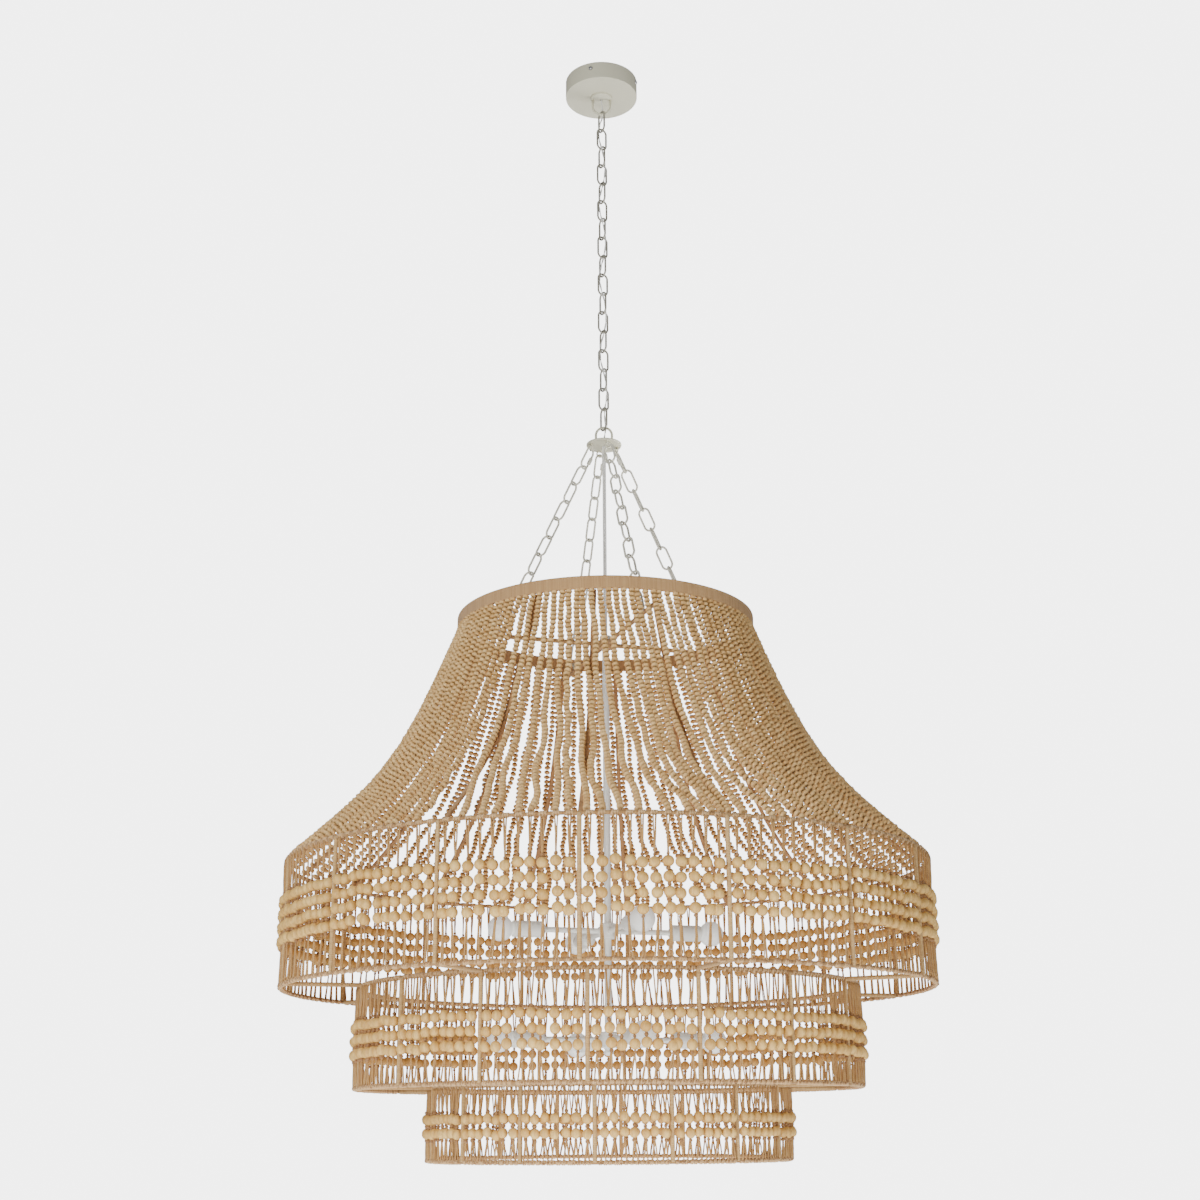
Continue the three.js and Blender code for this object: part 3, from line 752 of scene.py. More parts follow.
class Yarn:
    """Gathers middle lines, in millimetres, and makes tubes of them in one mesh."""

    def __init__(self, sides: int) -> None:
        """Starts with no line.

        Args:
            sides: the number of sides of every tube, which is even and at least four.
        """
        self.sides = sides
        self.curve = bpy.data.curves.new("yarn", "CURVE")
        self.curve.dimensions = "3D"
        self.curve.twist_mode = "MINIMUM"
        self.curve.bevel_depth = MM
        self.curve.bevel_resolution = (sides - 4) // 2
        self.far: list[np.ndarray] = []
        self.closed: list[tuple[int, int, float]] = []
        self.tones: list[np.ndarray] = []

    def add(self, path: Any, radius: float | np.ndarray, closed: bool = False, tone: float = 0.5) -> None:
        """Adds a line.

        Args:
            path: its points.
            radius: the tube's radius, or one for each point.
            closed: whether the end joins the start.
            tone: a share that shifts its colour.
        """
        path = np.asarray(path, float)
        count = len(path)
        spline = self.curve.splines.new("POLY")
        spline.points.add(count - 1)
        spline.points.foreach_set("co", np.hstack([path * MM, np.ones((count, 1))]).ravel())
        spline.points.foreach_set("radius", np.broadcast_to(np.asarray(radius, float), (count,)).copy())
        spline.use_cyclic_u = closed
        spline.use_smooth = True
        far = travelled(path, closed) * MM
        if closed:
            first = sum(len(part) for part in self.far)
            self.closed.append((first, first + count - 1, far[-1]))
        self.far.append(far[:count])
        self.tones.append(np.full(count, tone))

    def piece(self, name: str) -> Piece:
        """Makes one smooth mesh of all the lines, its UV map in metres along and shares around.

        Args:
            name: the piece's name.

        Returns:
            The piece.
        """
        piece = shown(name, self.curve)
        alone(piece)
        bpy.ops.object.convert(target="MESH")
        with editing(piece):
            bpy.ops.mesh.fill_holes(sides=self.sides)
            bpy.ops.mesh.normals_make_consistent(inside=False)
        mesh = piece.data
        mesh.name = name
        while mesh.uv_layers:
            mesh.uv_layers.remove(mesh.uv_layers[0])
        mapped(mesh, self.uvs(mesh), np.repeat(np.concatenate(self.tones), self.sides))
        return piece

    def uvs(self, mesh: bpy.types.Mesh) -> np.ndarray:
        """Works out the UV map, in which no face reaches back over the seam.

        Args:
            mesh: the tubes' mesh, with its vertices ring by ring.

        Returns:
            Metres along and the share around, for each face corner.
        """
        corner = np.empty(len(mesh.loops), np.int32)
        mesh.loops.foreach_get("vertex_index", corner)
        sizes = np.empty(len(mesh.polygons), np.int32)
        mesh.polygons.foreach_get("loop_total", sizes)
        face = np.repeat(np.arange(len(sizes)), sizes)
        point, side = corner // self.sides, corner % self.sides
        along = np.concatenate(self.far)[point]
        around = side / self.sides
        starts = np.concatenate([[0], np.cumsum(sizes)[:-1]])
        spread = (np.maximum.reduceat(around, starts) > 0.7) & (np.minimum.reduceat(around, starts) < 0.3)
        around = np.where(spread[face] & (side == 0), 1.0, around)
        low, high = np.minimum.reduceat(point, starts), np.maximum.reduceat(point, starts)
        for first, last, whole in self.closed:
            over = ((low == first) & (high == last))[face] & (point == first)
            along[over] = whole
        return np.stack([along, around], 1)


def stamped(name: str, shape: Shape, places: np.ndarray, turns: np.ndarray, tones: np.ndarray) -> Piece:
    """Copies a modelled shape many times into one mesh.

    Args:
        name: the piece's name.
        shape: the shape.
        places: where each copy's middle goes, in millimetres.
        turns: each copy's three by three matrix, which also scales it.
        tones: each copy's colour share.

    Returns:
        The piece.
    """
    count, size = len(places), len(shape.points)
    points = (np.einsum("kab,pb->kpa", turns, shape.points) + places[:, None]) * MM
    corners = (shape.corners[None] + size * np.arange(count)[:, None]).ravel()
    sizes = np.tile(shape.sizes, count)
    mesh = bpy.data.meshes.new(name)
    mesh.vertices.add(count * size)
    mesh.vertices.foreach_set("co", points.astype(np.float32).ravel())
    mesh.loops.add(len(corners))
    mesh.loops.foreach_set("vertex_index", corners.astype(np.int32))
    mesh.polygons.add(len(sizes))
    mesh.polygons.foreach_set("loop_start", np.concatenate([[0], np.cumsum(sizes)[:-1]]).astype(np.int32))
    mesh.update(calc_edges=True)
    mapped(mesh, np.tile(shape.uvs, (count, 1)), np.repeat(tones, size))
    return shown(name, mesh)


def rounded(outline: Outline, radius: float, steps: int = 4) -> list[tuple[float, float]]:
    """Rounds each corner of an open outline but its ends.

    Args:
        outline: points of radius and level.
        radius: how far back from a corner the round starts, at most about half the shorter side.
        steps: the number of pieces in a round.

    Returns:
        The rounded outline.
    """
    points = [np.array(p, float) for p in outline]
    made = [tuple(points[0])]
    for before, here, after in zip(points, points[1:], points[2:]):
        back = min(radius, np.linalg.norm(before - here) * 0.48, np.linalg.norm(after - here) * 0.48)
        start, end = here + unit(before - here) * back, here + unit(after - here) * back
        for k in range(steps + 1):
            t = k / steps
            made.append(tuple((1 - t) ** 2 * start + 2 * t * (1 - t) * here + t**2 * end))
    return made + [tuple(points[-1])]


def turned(name: str, outline: Outline, steps: int = 64, closed: bool = False) -> Piece:
    """Turns an outline about Z with the spin operator.

    Args:
        name: the piece's name.
        outline: points of radius and level, in millimetres.
        steps: the number of steps round the axis.
        closed: whether the outline's end joins its start, as for a ring.

    Returns:
        The piece, with its faces outwards.
    """
    mesh = bpy.data.meshes.new(name)
    count = len(outline)
    edges = [(k, (k + 1) % count) for k in range(count if closed else count - 1)]
    mesh.from_pydata([(r * MM, 0.0, level * MM) for r, level in outline], edges, [])
    piece = shown(name, mesh)
    with editing(piece):
        bpy.ops.mesh.spin(steps=steps, angle=2 * math.pi, center=(0, 0, 0), axis=UP)
        bpy.ops.mesh.select_all(action="SELECT")
        bpy.ops.mesh.remove_doubles(threshold=1e-6)
        bpy.ops.mesh.normals_make_consistent(inside=False)
    return smooth(piece)


def washer(
    name: str, hole: float, radius: float, low: float, top: float, edge: float, arc: int = 4, steps: int = 48
) -> Piece:
    """Turns a disc or a sleeve with a hole through it and a rounded rim.

    Args:
        name: the piece's name.
        hole: the hole's radius.
        radius: the radius outside.
        low: its lower face's level.
        top: its upper face's level.
        edge: the rim's rounding.
        arc: the number of steps in the rounding.
        steps: the number of steps round the axis.

    Returns:
        The piece.
    """
    outline = rounded([(hole, low), (radius, low), (radius, top), (hole, top)], edge, arc)
    return turned(name, outline, steps, closed=True)


def joined(name: str, pieces: Sequence[Piece]) -> Piece:
    """Joins pieces into the first of them.

    Args:
        name: the name of the whole.
        pieces: the pieces.

    Returns:
        The whole.
    """
    alone(pieces[0])
    for piece in pieces:
        piece.select_set(True)
    if len(pieces) > 1:
        bpy.ops.object.join()
    pieces[0].name = name
    pieces[0].data.name = name
    return pieces[0]


def placed(piece: Piece, matrix: Matrix) -> Piece:
    """Moves a piece's mesh, in metres, and leaves its object at the origin."""
    piece.data.transform(matrix)
    return piece


def dress(piece: Piece, finish: Finish, body: str | None, *nodes: str) -> None:
    """Gives a piece its finish, body and nodes, and reports it.

    Args:
        piece: the piece, in place.
        finish: its finish.
        body: the body it rides on, or None for a piece that spans two.
        nodes: the CAD nodes that it stands for.
    """
    piece.data.materials.clear()
    piece.data.materials.append(finish.material())
    if body:
        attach(piece, body)
    if nodes:
        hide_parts(*nodes)
    LOG.info("%s: %d faces, %s", piece.name, len(piece.data.polygons), finish.slot)


def arch(width: float, wire: float, bend: float, foot: float, arc: int = 24) -> np.ndarray:
    """Gives the middle line of a bent wire in the XZ plane.

    Args:
        width: its width outside.
        wire: the wire's diameter.
        bend: the level of the wire's middle at the bend.
        foot: the level where both legs end.
        arc: the number of steps in the bend.

    Returns:
        The points, from leg to leg.
    """
    radius = (width - wire) / 2
    way = 1 if bend > foot else -1
    centre = bend - way * radius
    angles = np.linspace(0, math.pi, arc + 1)
    bow = [(radius * math.cos(a), 0, centre + way * radius * math.sin(a)) for a in angles]
    return np.array([(radius, 0, foot), *bow, (-radius, 0, foot)])


def ring_path(radius: float, level: float, count: int) -> np.ndarray:
    """Gives points of a level circle about the axis."""
    angles = 2 * math.pi * np.arange(count) / count
    return np.stack([radius * np.sin(angles), -radius * np.cos(angles), np.full(count, level)], 1)


def bead_shape(segments: int, rings: int, dimple: float) -> Shape:
    """Models one bead of radius one with a sunk hole at each pole.

    Args:
        segments: its steps round the string.
        rings: its steps along the string.
        dimple: how deep the poles are pushed in.

    Returns:
        The bead as a shape.
    """
    bpy.ops.object.select_all(action="DESELECT")
    bpy.ops.mesh.primitive_uv_sphere_add(segments=segments, ring_count=rings, radius=1)
    bead = bpy.context.object
    for pole in (1, -1):
        pulled(bead, lambda place: place.z * pole > 0.999, (0, 0, -pole * dimple))
    return Shape.taken_from(bead)


def upright(directions: np.ndarray, widths: np.ndarray, lengths: np.ndarray, spins: np.ndarray) -> np.ndarray:
    """Works out how copies of a shape are turned and scaled.

    Args:
        directions: where each copy's Z points.
        widths: each copy's scale across.
        lengths: each copy's scale along.
        spins: each copy's turn about its own Z.

    Returns:
        A three by three matrix for each copy.
    """
    along = unit(directions)
    spare = np.where(np.abs(along[:, :1]) < 0.9, [[1.0, 0.0, 0.0]], [[0.0, 1.0, 0.0]])
    first = unit(np.cross(along, spare))
    second = np.cross(along, first)
    cos, sin = np.cos(spins)[:, None], np.sin(spins)[:, None]
    x, y = first * cos + second * sin, second * cos - first * sin
    return np.stack([x * widths[:, None], y * widths[:, None], along * lengths[:, None]], 2)


def wound(piece: Piece, about_axis: bool) -> Piece:
    """Lays a UV map in metres for raffia that winds round a piece.

    Args:
        piece: the piece, in place.
        about_axis: whether the raffia runs on round the chandelier's axis, else down the piece.

    Returns:
        The piece.
    """
    across = 20
    mesh = piece.data
    layer = mesh.uv_layers.new(name="UVMap") if not mesh.uv_layers else mesh.uv_layers[0]
    for face in mesh.polygons:
        middle = math.atan2(face.center.x, -face.center.y)
        reach = math.hypot(face.center.x, face.center.y)
        for loop in face.loop_indices:
            point = mesh.vertices[mesh.loops[loop].vertex_index].co
            swing = math.remainder(math.atan2(point.x, -point.y) - middle, 2 * math.pi)
            over = (middle + swing) * reach
            layer.data[loop].uv = (over, point.z * across) if about_axis else (point.z, over * across)
    return piece


def copies(master: Piece, name: str, matrices: Iterable[Matrix]) -> list[Piece]:
    """Copies a modelled piece to each place, each copy with its own mesh, and removes the master.

    Args:
        master: the piece.
        name: the copies' name, to which a number is added.
        matrices: the places, in metres.

    Returns:
        The copies.
    """
    made = []
    for number, matrix in enumerate(matrices, 1):
        mesh = master.data.copy()
        mesh.transform(matrix)
        mesh.name = f"{name}_{number}"
        made.append(shown(mesh.name, mesh))
    bpy.data.objects.remove(master)
    return made


def smooth(piece: Piece, degrees: float = 40) -> Piece:
    """Shades a piece smooth, but not over sharp edges.

    Args:
        piece: the piece.
        degrees: the least angle of a sharp edge.

    Returns:
        The piece.
    """
    alone(piece)
    bpy.ops.object.shade_smooth_by_angle(angle=math.radians(degrees))
    return piece


def softened(piece: Piece, width: float, steps: int = 2, degrees: float = 30) -> Piece:
    """Rounds a piece's sharp edges with an applied bevel.

    Args:
        piece: the piece.
        width: how wide the bevel is, in millimetres.
        steps: the number of faces across it.
        degrees: the angle from which an edge counts as sharp.

    Returns:
        The piece.
    """
    alone(piece)
    bevel = piece.modifiers.new("edges", "BEVEL")
    bevel.width = width * MM
    bevel.segments = steps
    bevel.limit_method = "ANGLE"
    bevel.angle_limit = math.radians(degrees)
    bpy.ops.object.modifier_apply(modifier=bevel.name)
    return smooth(piece)


def block(name: str, size: Sequence[float], place: Sequence[float] = (0, 0, 0), edge: float = 0) -> Piece:
    """Models a box, in millimetres.

    Args:
        name: the piece's name.
        size: its size along each axis.
        place: where its middle lies.
        edge: the bevel's width on its edges, or nought for sharp ones.

    Returns:
        The box.
    """
    bpy.ops.object.select_all(action="DESELECT")
    bpy.ops.mesh.primitive_cube_add(size=1)
    piece = bpy.context.object
    piece.name = name
    with editing(piece):
        bpy.ops.transform.resize(value=[part * MM for part in size])
        bpy.ops.transform.translate(value=[part * MM for part in place])
    return softened(piece, edge) if edge else piece


def carved(piece: Piece, cutters: Sequence[Piece]) -> Piece:
    """Cuts pieces out of a piece and removes them.

    Args:
        piece: the piece.
        cutters: what is cut out of it.

    Returns:
        The piece.
    """
    for cutter in cutters:
        alone(piece)
        cut = piece.modifiers.new("cut", "BOOLEAN")
        cut.operation = "DIFFERENCE"
        cut.solver = "EXACT"
        cut.object = cutter
        bpy.ops.object.modifier_apply(modifier=cut.name)
        bpy.data.objects.remove(cutter)
    return smooth(piece)


def outward(degrees: float, reach: float, level: float) -> Matrix:
    """Works out the place of a piece that points away from the axis.

    Args:
        degrees: its angle.
        reach: how far from the axis it stands, in millimetres.
        level: its level, in millimetres.

    Returns:
        The matrix, in metres, that takes +Z to the outward direction there.
    """
    out = Vector(polar(1, degrees, 0))
    side = Vector(UP).cross(out)
    turn = Matrix((side, out.cross(side), out)).transposed().to_4x4()
    return shifted(polar(reach, degrees, level)) @ turn


def link_ring(name: str, length: float, width: float, wire: float) -> Piece:
    """Models an oval link standing in the XZ plane about the origin: a torus whose halves are drawn apart.

    Args:
        name: the piece's name.
        length: its length outside.
        width: its width outside.
        wire: the wire's diameter.

    Returns:
        The link.
    """
    steps, sides = 28, 12
    radius = (width - wire) / 2
    bpy.ops.object.select_all(action="DESELECT")
    bpy.ops.mesh.primitive_torus_add(
        major_segments=steps,
        minor_segments=sides,
        major_radius=radius * MM,
        minor_radius=wire / 2 * MM,
        rotation=(math.pi / 2, 0, 0),
    )
    piece = bpy.context.object
    piece.name = name
    bpy.ops.object.transform_apply(location=False, rotation=True, scale=False)
    half_step = math.pi / steps
    piece.data.transform(Matrix.Rotation(half_step, 4, "Y"))
    shift = ((length - wire) / 2 - radius) * MM
    for way in (1, -1):
        pulled(piece, lambda place: place.z * way > 0, (0, 0, way * shift))
    return smooth(piece)


def between(t: float, start: float, end: float, first: np.ndarray, last: np.ndarray) -> np.ndarray:
    """Gives the point at a time between two points with their times."""
    return (end - t) / (end - start) * first + (t - start) / (end - start) * last


def through(knots: Sequence[np.ndarray], count: int) -> np.ndarray:
    """Runs a smooth line through knots.

    Args:
        knots: the knots, in order.
        count: the number of points wanted.

    Returns:
        Evenly spaced points of the line.
    """
    steps_between = 24
    knots = [2 * knots[0] - knots[1], *knots, 2 * knots[-1] - knots[-2]]
    times = np.concatenate([[0], np.cumsum([np.linalg.norm(b - a) ** 0.5 for a, b in zip(knots, knots[1:])])])
    made = []
    for k in range(1, len(knots) - 2):
        t0, t1, t2, t3 = times[k - 1 : k + 3]
        p0, p1, p2, p3 = knots[k - 1 : k + 3]
        for t in np.linspace(t1, t2, steps_between, endpoint=False):
            a1, a2, a3 = between(t, t0, t1, p0, p1), between(t, t1, t2, p1, p2), between(t, t2, t3, p2, p3)
            b1, b2 = between(t, t0, t2, a1, a2), between(t, t1, t3, a2, a3)
            made.append(between(t, t1, t2, b1, b2))
    made.append(knots[-2])
    return evenly(np.array(made), count)


def evenly(line: np.ndarray, count: int) -> np.ndarray:
    """Spaces a line's points evenly.

    Args:
        line: its points.
        count: the number of points wanted.

    Returns:
        The new points.
    """
    far = travelled(line)
    wanted = np.linspace(0, far[-1], count)
    return np.stack([np.interp(wanted, far, line[:, axis]) for axis in range(3)], 1)


# Studio


@dataclass(frozen=True)
class SoftLight:
    """A round soft light, placed in metres and aimed at a level of the chandelier's axis."""

    name: str
    place: tuple[float, float, float]
    aim: float
    size: float
    power: float
    spread: float = 180

    def build(self) -> None:
        """Hangs the light, out of the camera's sight."""
        data = bpy.data.lights.new(self.name, "AREA")
        data.shape = "DISK"
        data.size = self.size
        data.energy = self.power
        data.spread = math.radians(self.spread)
        lamp = shown(self.name, data)
        lamp.visible_camera = False
        lamp.location = self.place
        way = Vector((0, 0, self.aim)) - Vector(self.place)
        lamp.rotation_mode = "QUATERNION"
        lamp.rotation_quaternion = way.to_track_quat("-Z", "Y")


@dataclass(frozen=True)
class Studio:
    """The camera where the photo was taken from, the floor and the soft light, placed in metres."""

    lens: float = 49.91
    sensor: float = 36.0
    tilt: float = 17.6258
    roll: float = -0.38
    eye: tuple[float, float, float] = (-0.010, -3.069, -2.1393)
    sight: float = 200
    floor_level: float = -7.0
    floor_size: float = 60.0
    floor_glow: float = 4.4
    white: Colour = (1.0, 1.0, 1.0)
    sky: float = 0.3
    backdrop: float = 5.0
    lights: tuple[SoftLight, ...] = (
        SoftLight("key_light", (-1.9, -3.3, -1.5), aim=-1.55, size=1.6, power=112.0),
        SoftLight("fill_light", (2.7, -2.6, -2.75), aim=-1.5, size=2.4, power=48.0),
        SoftLight("low_light", (0.0, -0.6, -3.15), aim=-1.55, size=2.6, power=43.0),
        SoftLight("back_light", (-0.9, 3.5, -1.1), aim=-1.5, size=2.4, power=42.0),
        SoftLight("canopy_light", (0.42, 0.12, -0.95), aim=-0.04, size=0.35, power=5.0, spread=150),
    )

    def build(self) -> None:
        """Sets up the camera, the floor and the light."""
        self.camera()
        self.floor()
        self.surround()
        for light in self.lights:
            light.build()

    def camera(self) -> None:
        """Sets up the scene's camera."""
        data = bpy.data.cameras.new("photo_camera")
        data.lens = self.lens
        data.sensor_width = self.sensor
        data.sensor_fit = "HORIZONTAL"
        data.dof.use_dof = False
        data.clip_end = self.sight
        camera = shown("photo_camera", data)
        camera.rotation_mode = "XYZ"
        turn = Matrix.Rotation(math.radians(90 + self.tilt), 4, "X") @ about_z(self.roll)
        camera.matrix_world = Matrix.Translation(self.eye) @ turn
        bpy.context.scene.camera = camera

    def floor(self) -> None:
        """Lays a plain pale floor far under the chandelier."""
        bpy.ops.object.select_all(action="DESELECT")
        bpy.ops.mesh.primitive_plane_add(size=self.floor_size, location=(0, 0, self.floor_level))
        floor = bpy.context.object
        floor.name = "floor"
        floor.data.materials.append(FloorPaint(self.white, self.floor_glow).material("studio_floor"))

    def surround(self) -> None:
        """Sets a white surround, brighter to the camera than to the chandelier."""
        world = bpy.data.worlds.new("studio_white")
        bpy.context.scene.world = world
        world.use_nodes = True
        world.node_tree.nodes.clear()
        graph = Graph(world.node_tree)
        seen = graph.node("ShaderNodeLightPath").outputs["Is Camera Ray"]
        soft, white = (
            graph.node("ShaderNodeBackground", {"Color": self.white, "Strength": strength}).outputs[0]
            for strength in (self.sky, self.backdrop)
        )
        both = graph.node("ShaderNodeMixShader", {0: seen, 1: soft, 2: white}).outputs[0]
        graph.node("ShaderNodeOutputWorld", {"Surface": both})


# Canopy


@dataclass
class Canopy:
    """The ceiling plate, the canopy with its screws, the terminal block and the loop."""

    radius: float = 76
    height: float = 38
    wall: float = 1.5
    edge: float = 1.2
    hole: float = 6.3
    plate_thickness: float = 3
    plate_arm: float = 22
    plate_reach: float = 72.45
    plate_edge: float = 0.6
    ear: tuple[float, float, float] = (14, 2.5, 18)
    ear_edge: float = 0.5
    screw_angles: tuple[float, ...] = (-17, 73, 163, 253)
    screw_drop: float = 14
    screw_head: float = 4.2
    screw_height: float = 3.5
    screw_length: float = 6.5
    screw_radius: float = 2
    screw_slot: float = 0.8
    slot_depth: float = 2.4
    block_size: tuple[float, float, float] = (17, 34, 13)
    block_place: tuple[float, float, float] = (-26, 0, -9.8)
    wire_hole: float = 3.4
    screw_well: float = 4
    collar_radius: float = 23
    collar_height: float = 4
    collar_edge: float = 1.8
    nipple: float = 6
    bore: float = 3.2
    fit: float = 0.3
    loop_width: float = 42
    loop_wire: float = 5
    loop_bend: float = -77.2

    def build(self) -> None:
        """Models and dresses every piece."""
        self.plate()
        self.shell()
        self.screws()
        self.block()
        self.loop()

    def plate(self) -> None:
        """Models the crossed ceiling plate with its four ears."""
        parts = []
        for k, angle in enumerate(self.screw_angles):
            if k < len(self.screw_angles) // 2:
                size = (self.plate_arm, 2 * self.plate_reach, self.plate_thickness)
                arm = block("plate_arm", size, (0, 0, -self.plate_thickness / 2), self.plate_edge)
                parts.append(placed(arm, about_z(angle)))
            ear = block("plate_ear", self.ear, (0, -self.plate_reach, -self.ear[2] / 2), self.ear_edge)
            parts.append(placed(ear, about_z(angle)))
        dress(joined("ceiling_plate_looks", parts), Finish.STEEL, CEILING, "ceiling_plate")

    def shell(self) -> None:
        """Turns the canopy."""
        inner, ceiling = self.radius - self.wall, self.wall - self.height
        low = -self.height
        outer = rounded([(self.hole, low), (self.radius, low), (self.radius, 0)], self.edge, 6)
        inside = rounded([(inner, 0), (inner, ceiling), (self.hole, ceiling)], self.edge)
        shell = turned("canopy_looks", [*outer, *inside], 96, closed=True)
        dress(softened(shell, 0.25, degrees=50), Finish.IVORY, CEILING, "canopy")

    def screws(self) -> None:
        """Turns one screw with a domed head, cuts its cross, and sets four of them."""
        head, height = self.screw_head, self.screw_height
        outline = [
            (0, -self.screw_length),
            (self.screw_radius * 0.7, -self.screw_length),
            (self.screw_radius, 0.8 - self.screw_length),
            (self.screw_radius, 0),
            (head, 0),
            (head, height * 0.35),
            (head * 0.9, height * 0.7),
            (head * 0.6, height * 0.93),
            (0, height),
        ]
        slot = (head * 1.15, self.screw_slot, self.slot_depth)
        slots = [block("slot", size, (0, 0, height)) for size in (slot, (slot[1], slot[0], slot[2]))]
        screw = softened(carved(turned("screw", outline, 32), slots), 0.12, 1, 35)
        places = [outward(angle, self.radius + self.fit, -self.screw_drop) for angle in self.screw_angles]
        for number, piece in enumerate(copies(screw, "canopy_screw_looks", places), 1):
            dress(piece, Finish.STEEL, CEILING, f"canopy_screw_{number}")

    def block(self) -> None:
        """Models the terminal block with its wire holes and screw wells."""
        x, y, z = self.block_place
        wide, long, high = self.block_size
        edge = 0.8
        body = block("terminal_block_looks", self.block_size, self.block_place, 1.0)
        cutters = []
        for k in (-1, 0, 1):
            along = y + k * long * 0.3
            size = (wide * 1.2, self.wire_hole, self.wire_hole)
            cutters.append(block("hole", size, (x, along, z - high * 0.15), edge))
            cutters.append(block("well", [self.screw_well] * 3, (x - wide * 0.2, along, z - high / 2), edge))
        dress(softened(carved(body, cutters), 0.2, 1, 35), Finish.PLASTIC, CEILING, "terminal_block")

    def loop(self) -> None:
        """Turns the collar with its hollow nipple and bends the loop under it."""
        seat = -self.height - self.fit
        low, top = seat - self.collar_height, -self.plate_thickness - self.fit
        rim = [(self.bore + 0.5, low), (self.collar_radius, low), (self.collar_radius, seat)]
        outline = [
            (self.bore, low),
            *rounded(rim, self.collar_edge),
            (self.nipple, seat),
            (self.nipple, top),
            (self.bore, top),
        ]
        wire = Yarn(16)
        wire.add(arch(self.loop_width, self.loop_wire, self.loop_bend, low + 1), self.loop_wire / 2)
        pieces = [turned("collar", outline, 64, closed=True), wire.piece("bow")]
        dress(joined("canopy_loop_looks", pieces), Finish.IVORY, CEILING, "canopy_loop")


# Main chain and its cord


@dataclass
class MainChain:
    """Seventeen links, every other one turned a quarter, and the cord that winds down them."""

    count: int = 17
    first: float = -96
    pitch: float = 43
    length: float = 51.8
    width: float = 25.6
    wire: float = 4.2
    turn: float = 32
    weld_levels: tuple[float, ...] = (-1.6, -0.9, 0, 0.9, 1.6)
    weld_swell: tuple[float, ...] = (0.97, 1.06, 1.09, 1.06, 0.97)
    cord: float = 3.6
    cord_reach: float = 6.4
    cord_top: tuple[tuple[float, float, float], ...] = (
        (-17.1, 0, -9.8),
        (-9, 0, -10.2),
        (-3.2, 0, -13.4),
        (0, 0, -20),
        (0, 0, -32),
        (0, 0, -42),
    )
    cord_end: float = -838
    cord_steps: int = 900
    core: float = 0.94
    core_reach: float = 0.85
    core_twist: float = 46
    hinges: tuple[float, ...] = (-77.2, -119.8, -764.8, -807.8)
    bend: float = 17

    def build(self) -> None:
        """Models and dresses the links and the cord."""
        self.links()
        self.supply_cord()

    def links(self) -> None:
        """Models one link with its weld and hangs the chain."""
        weld = Yarn(12)
        side = (self.width - self.wire) / 2
        weld.add([(side, 0, level) for level in self.weld_levels], self.wire / 2 * np.array(self.weld_swell))
        link = joined("link", [link_ring("link", self.length, self.width, self.wire), weld.piece("weld")])
        bodies = [TOP_LINK, *[CHAIN] * (self.count - 2), BOTTOM_LINK]
        places = []
        for k in range(self.count):
            quarter = 0 if k % 2 else 90
            places.append(shifted((0, 0, self.first - k * self.pitch)) @ about_z(self.turn + quarter))
        for number, piece in enumerate(copies(link, "chain_link_looks", places), 1):
            dress(piece, Finish.CHAIN, bodies[number - 1], f"chain_link_{number:02d}")

    def crossing(self, k: int) -> tuple[float, float]:
        """Works out where the cord passes from link k to the next.

        Args:
            k: the link's number, from nought at the canopy loop.

        Returns:
            The cord's angle and level there.
        """
        lean = self.turn / 2 if k in (0, self.count) else 0
        angle = self.turn + 45 + 90 * min(k, self.count - 1) - lean
        return angle, self.first + self.pitch / 2 - k * self.pitch

    def route(self) -> np.ndarray:
        """Runs the cord a quarter turn round each link, and past the last on one side.

        Returns:
            The points of its middle line.
        """
        knots = [np.array(point, float) for point in self.cord_top]
        for k in range(self.count + 1):
            angle, level = self.crossing(k)
            knots.append(polar(self.cord_reach, angle + 90, level))
            if k < self.count:
                after, below = self.crossing(k + 1)
                knots.append(polar(self.cord_reach, (angle + after) / 2 + 90, (level + below) / 2))
        knots.append(np.array([0, 0, self.cord_end + 2 * self.cord]))
        knots.append(np.array([0, 0, self.cord_end]))
        return through(knots, self.cord_steps)

    def cores(self, path: np.ndarray) -> tuple[np.ndarray, np.ndarray]:
        """Twists the cord's two cores round its middle line.

        Args:
            path: the middle line.

        Returns:
            The points of both.
        """
        along = unit(np.gradient(path, axis=0))
        side = unit(np.cross(along, np.array([0.3, 1.0, 0.1])))
        other = np.cross(along, side)
        turn = (2 * math.pi * travelled(path) / self.core_twist)[:, None]
        swing = self.core_reach * (side * np.cos(turn) + other * np.sin(turn))
        return path + swing, path - swing

    def supply_cord(self) -> None:
        """Lays the twin cord in lengths split about each hinge, their ends meeting."""
        path = self.route()
        cores = self.cores(path)
        bodies = [CEILING, TOP_LINK, CHAIN, BOTTOM_LINK, SHADE]
        levels = [0.0]
        for hinge in self.hinges:
            levels += [hinge + self.bend, hinge - self.bend]
        levels.append(self.cord_end - self.bend)
        level = path[:, 2]
        for k, (high, low) in enumerate(zip(levels, levels[1:])):
            inside = np.nonzero((level <= high) & (level >= low))[0]
            first, last = inside[0], min(inside[-1] + 1, len(path) - 1)
            yarn = Yarn(8)
            for core in cores:
                yarn.add(core[first : last + 1], self.core)
            piece = yarn.piece(f"supply_cord_{k + 1}")
            if k % 2 == 0:
                dress(piece, Finish.CORD, bodies[k // 2], "supply_cord")
            else:
                dress(piece, Finish.CORD, None, "supply_cord")
                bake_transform(piece)


# Hub, lower chains, lamp cord and crown brace


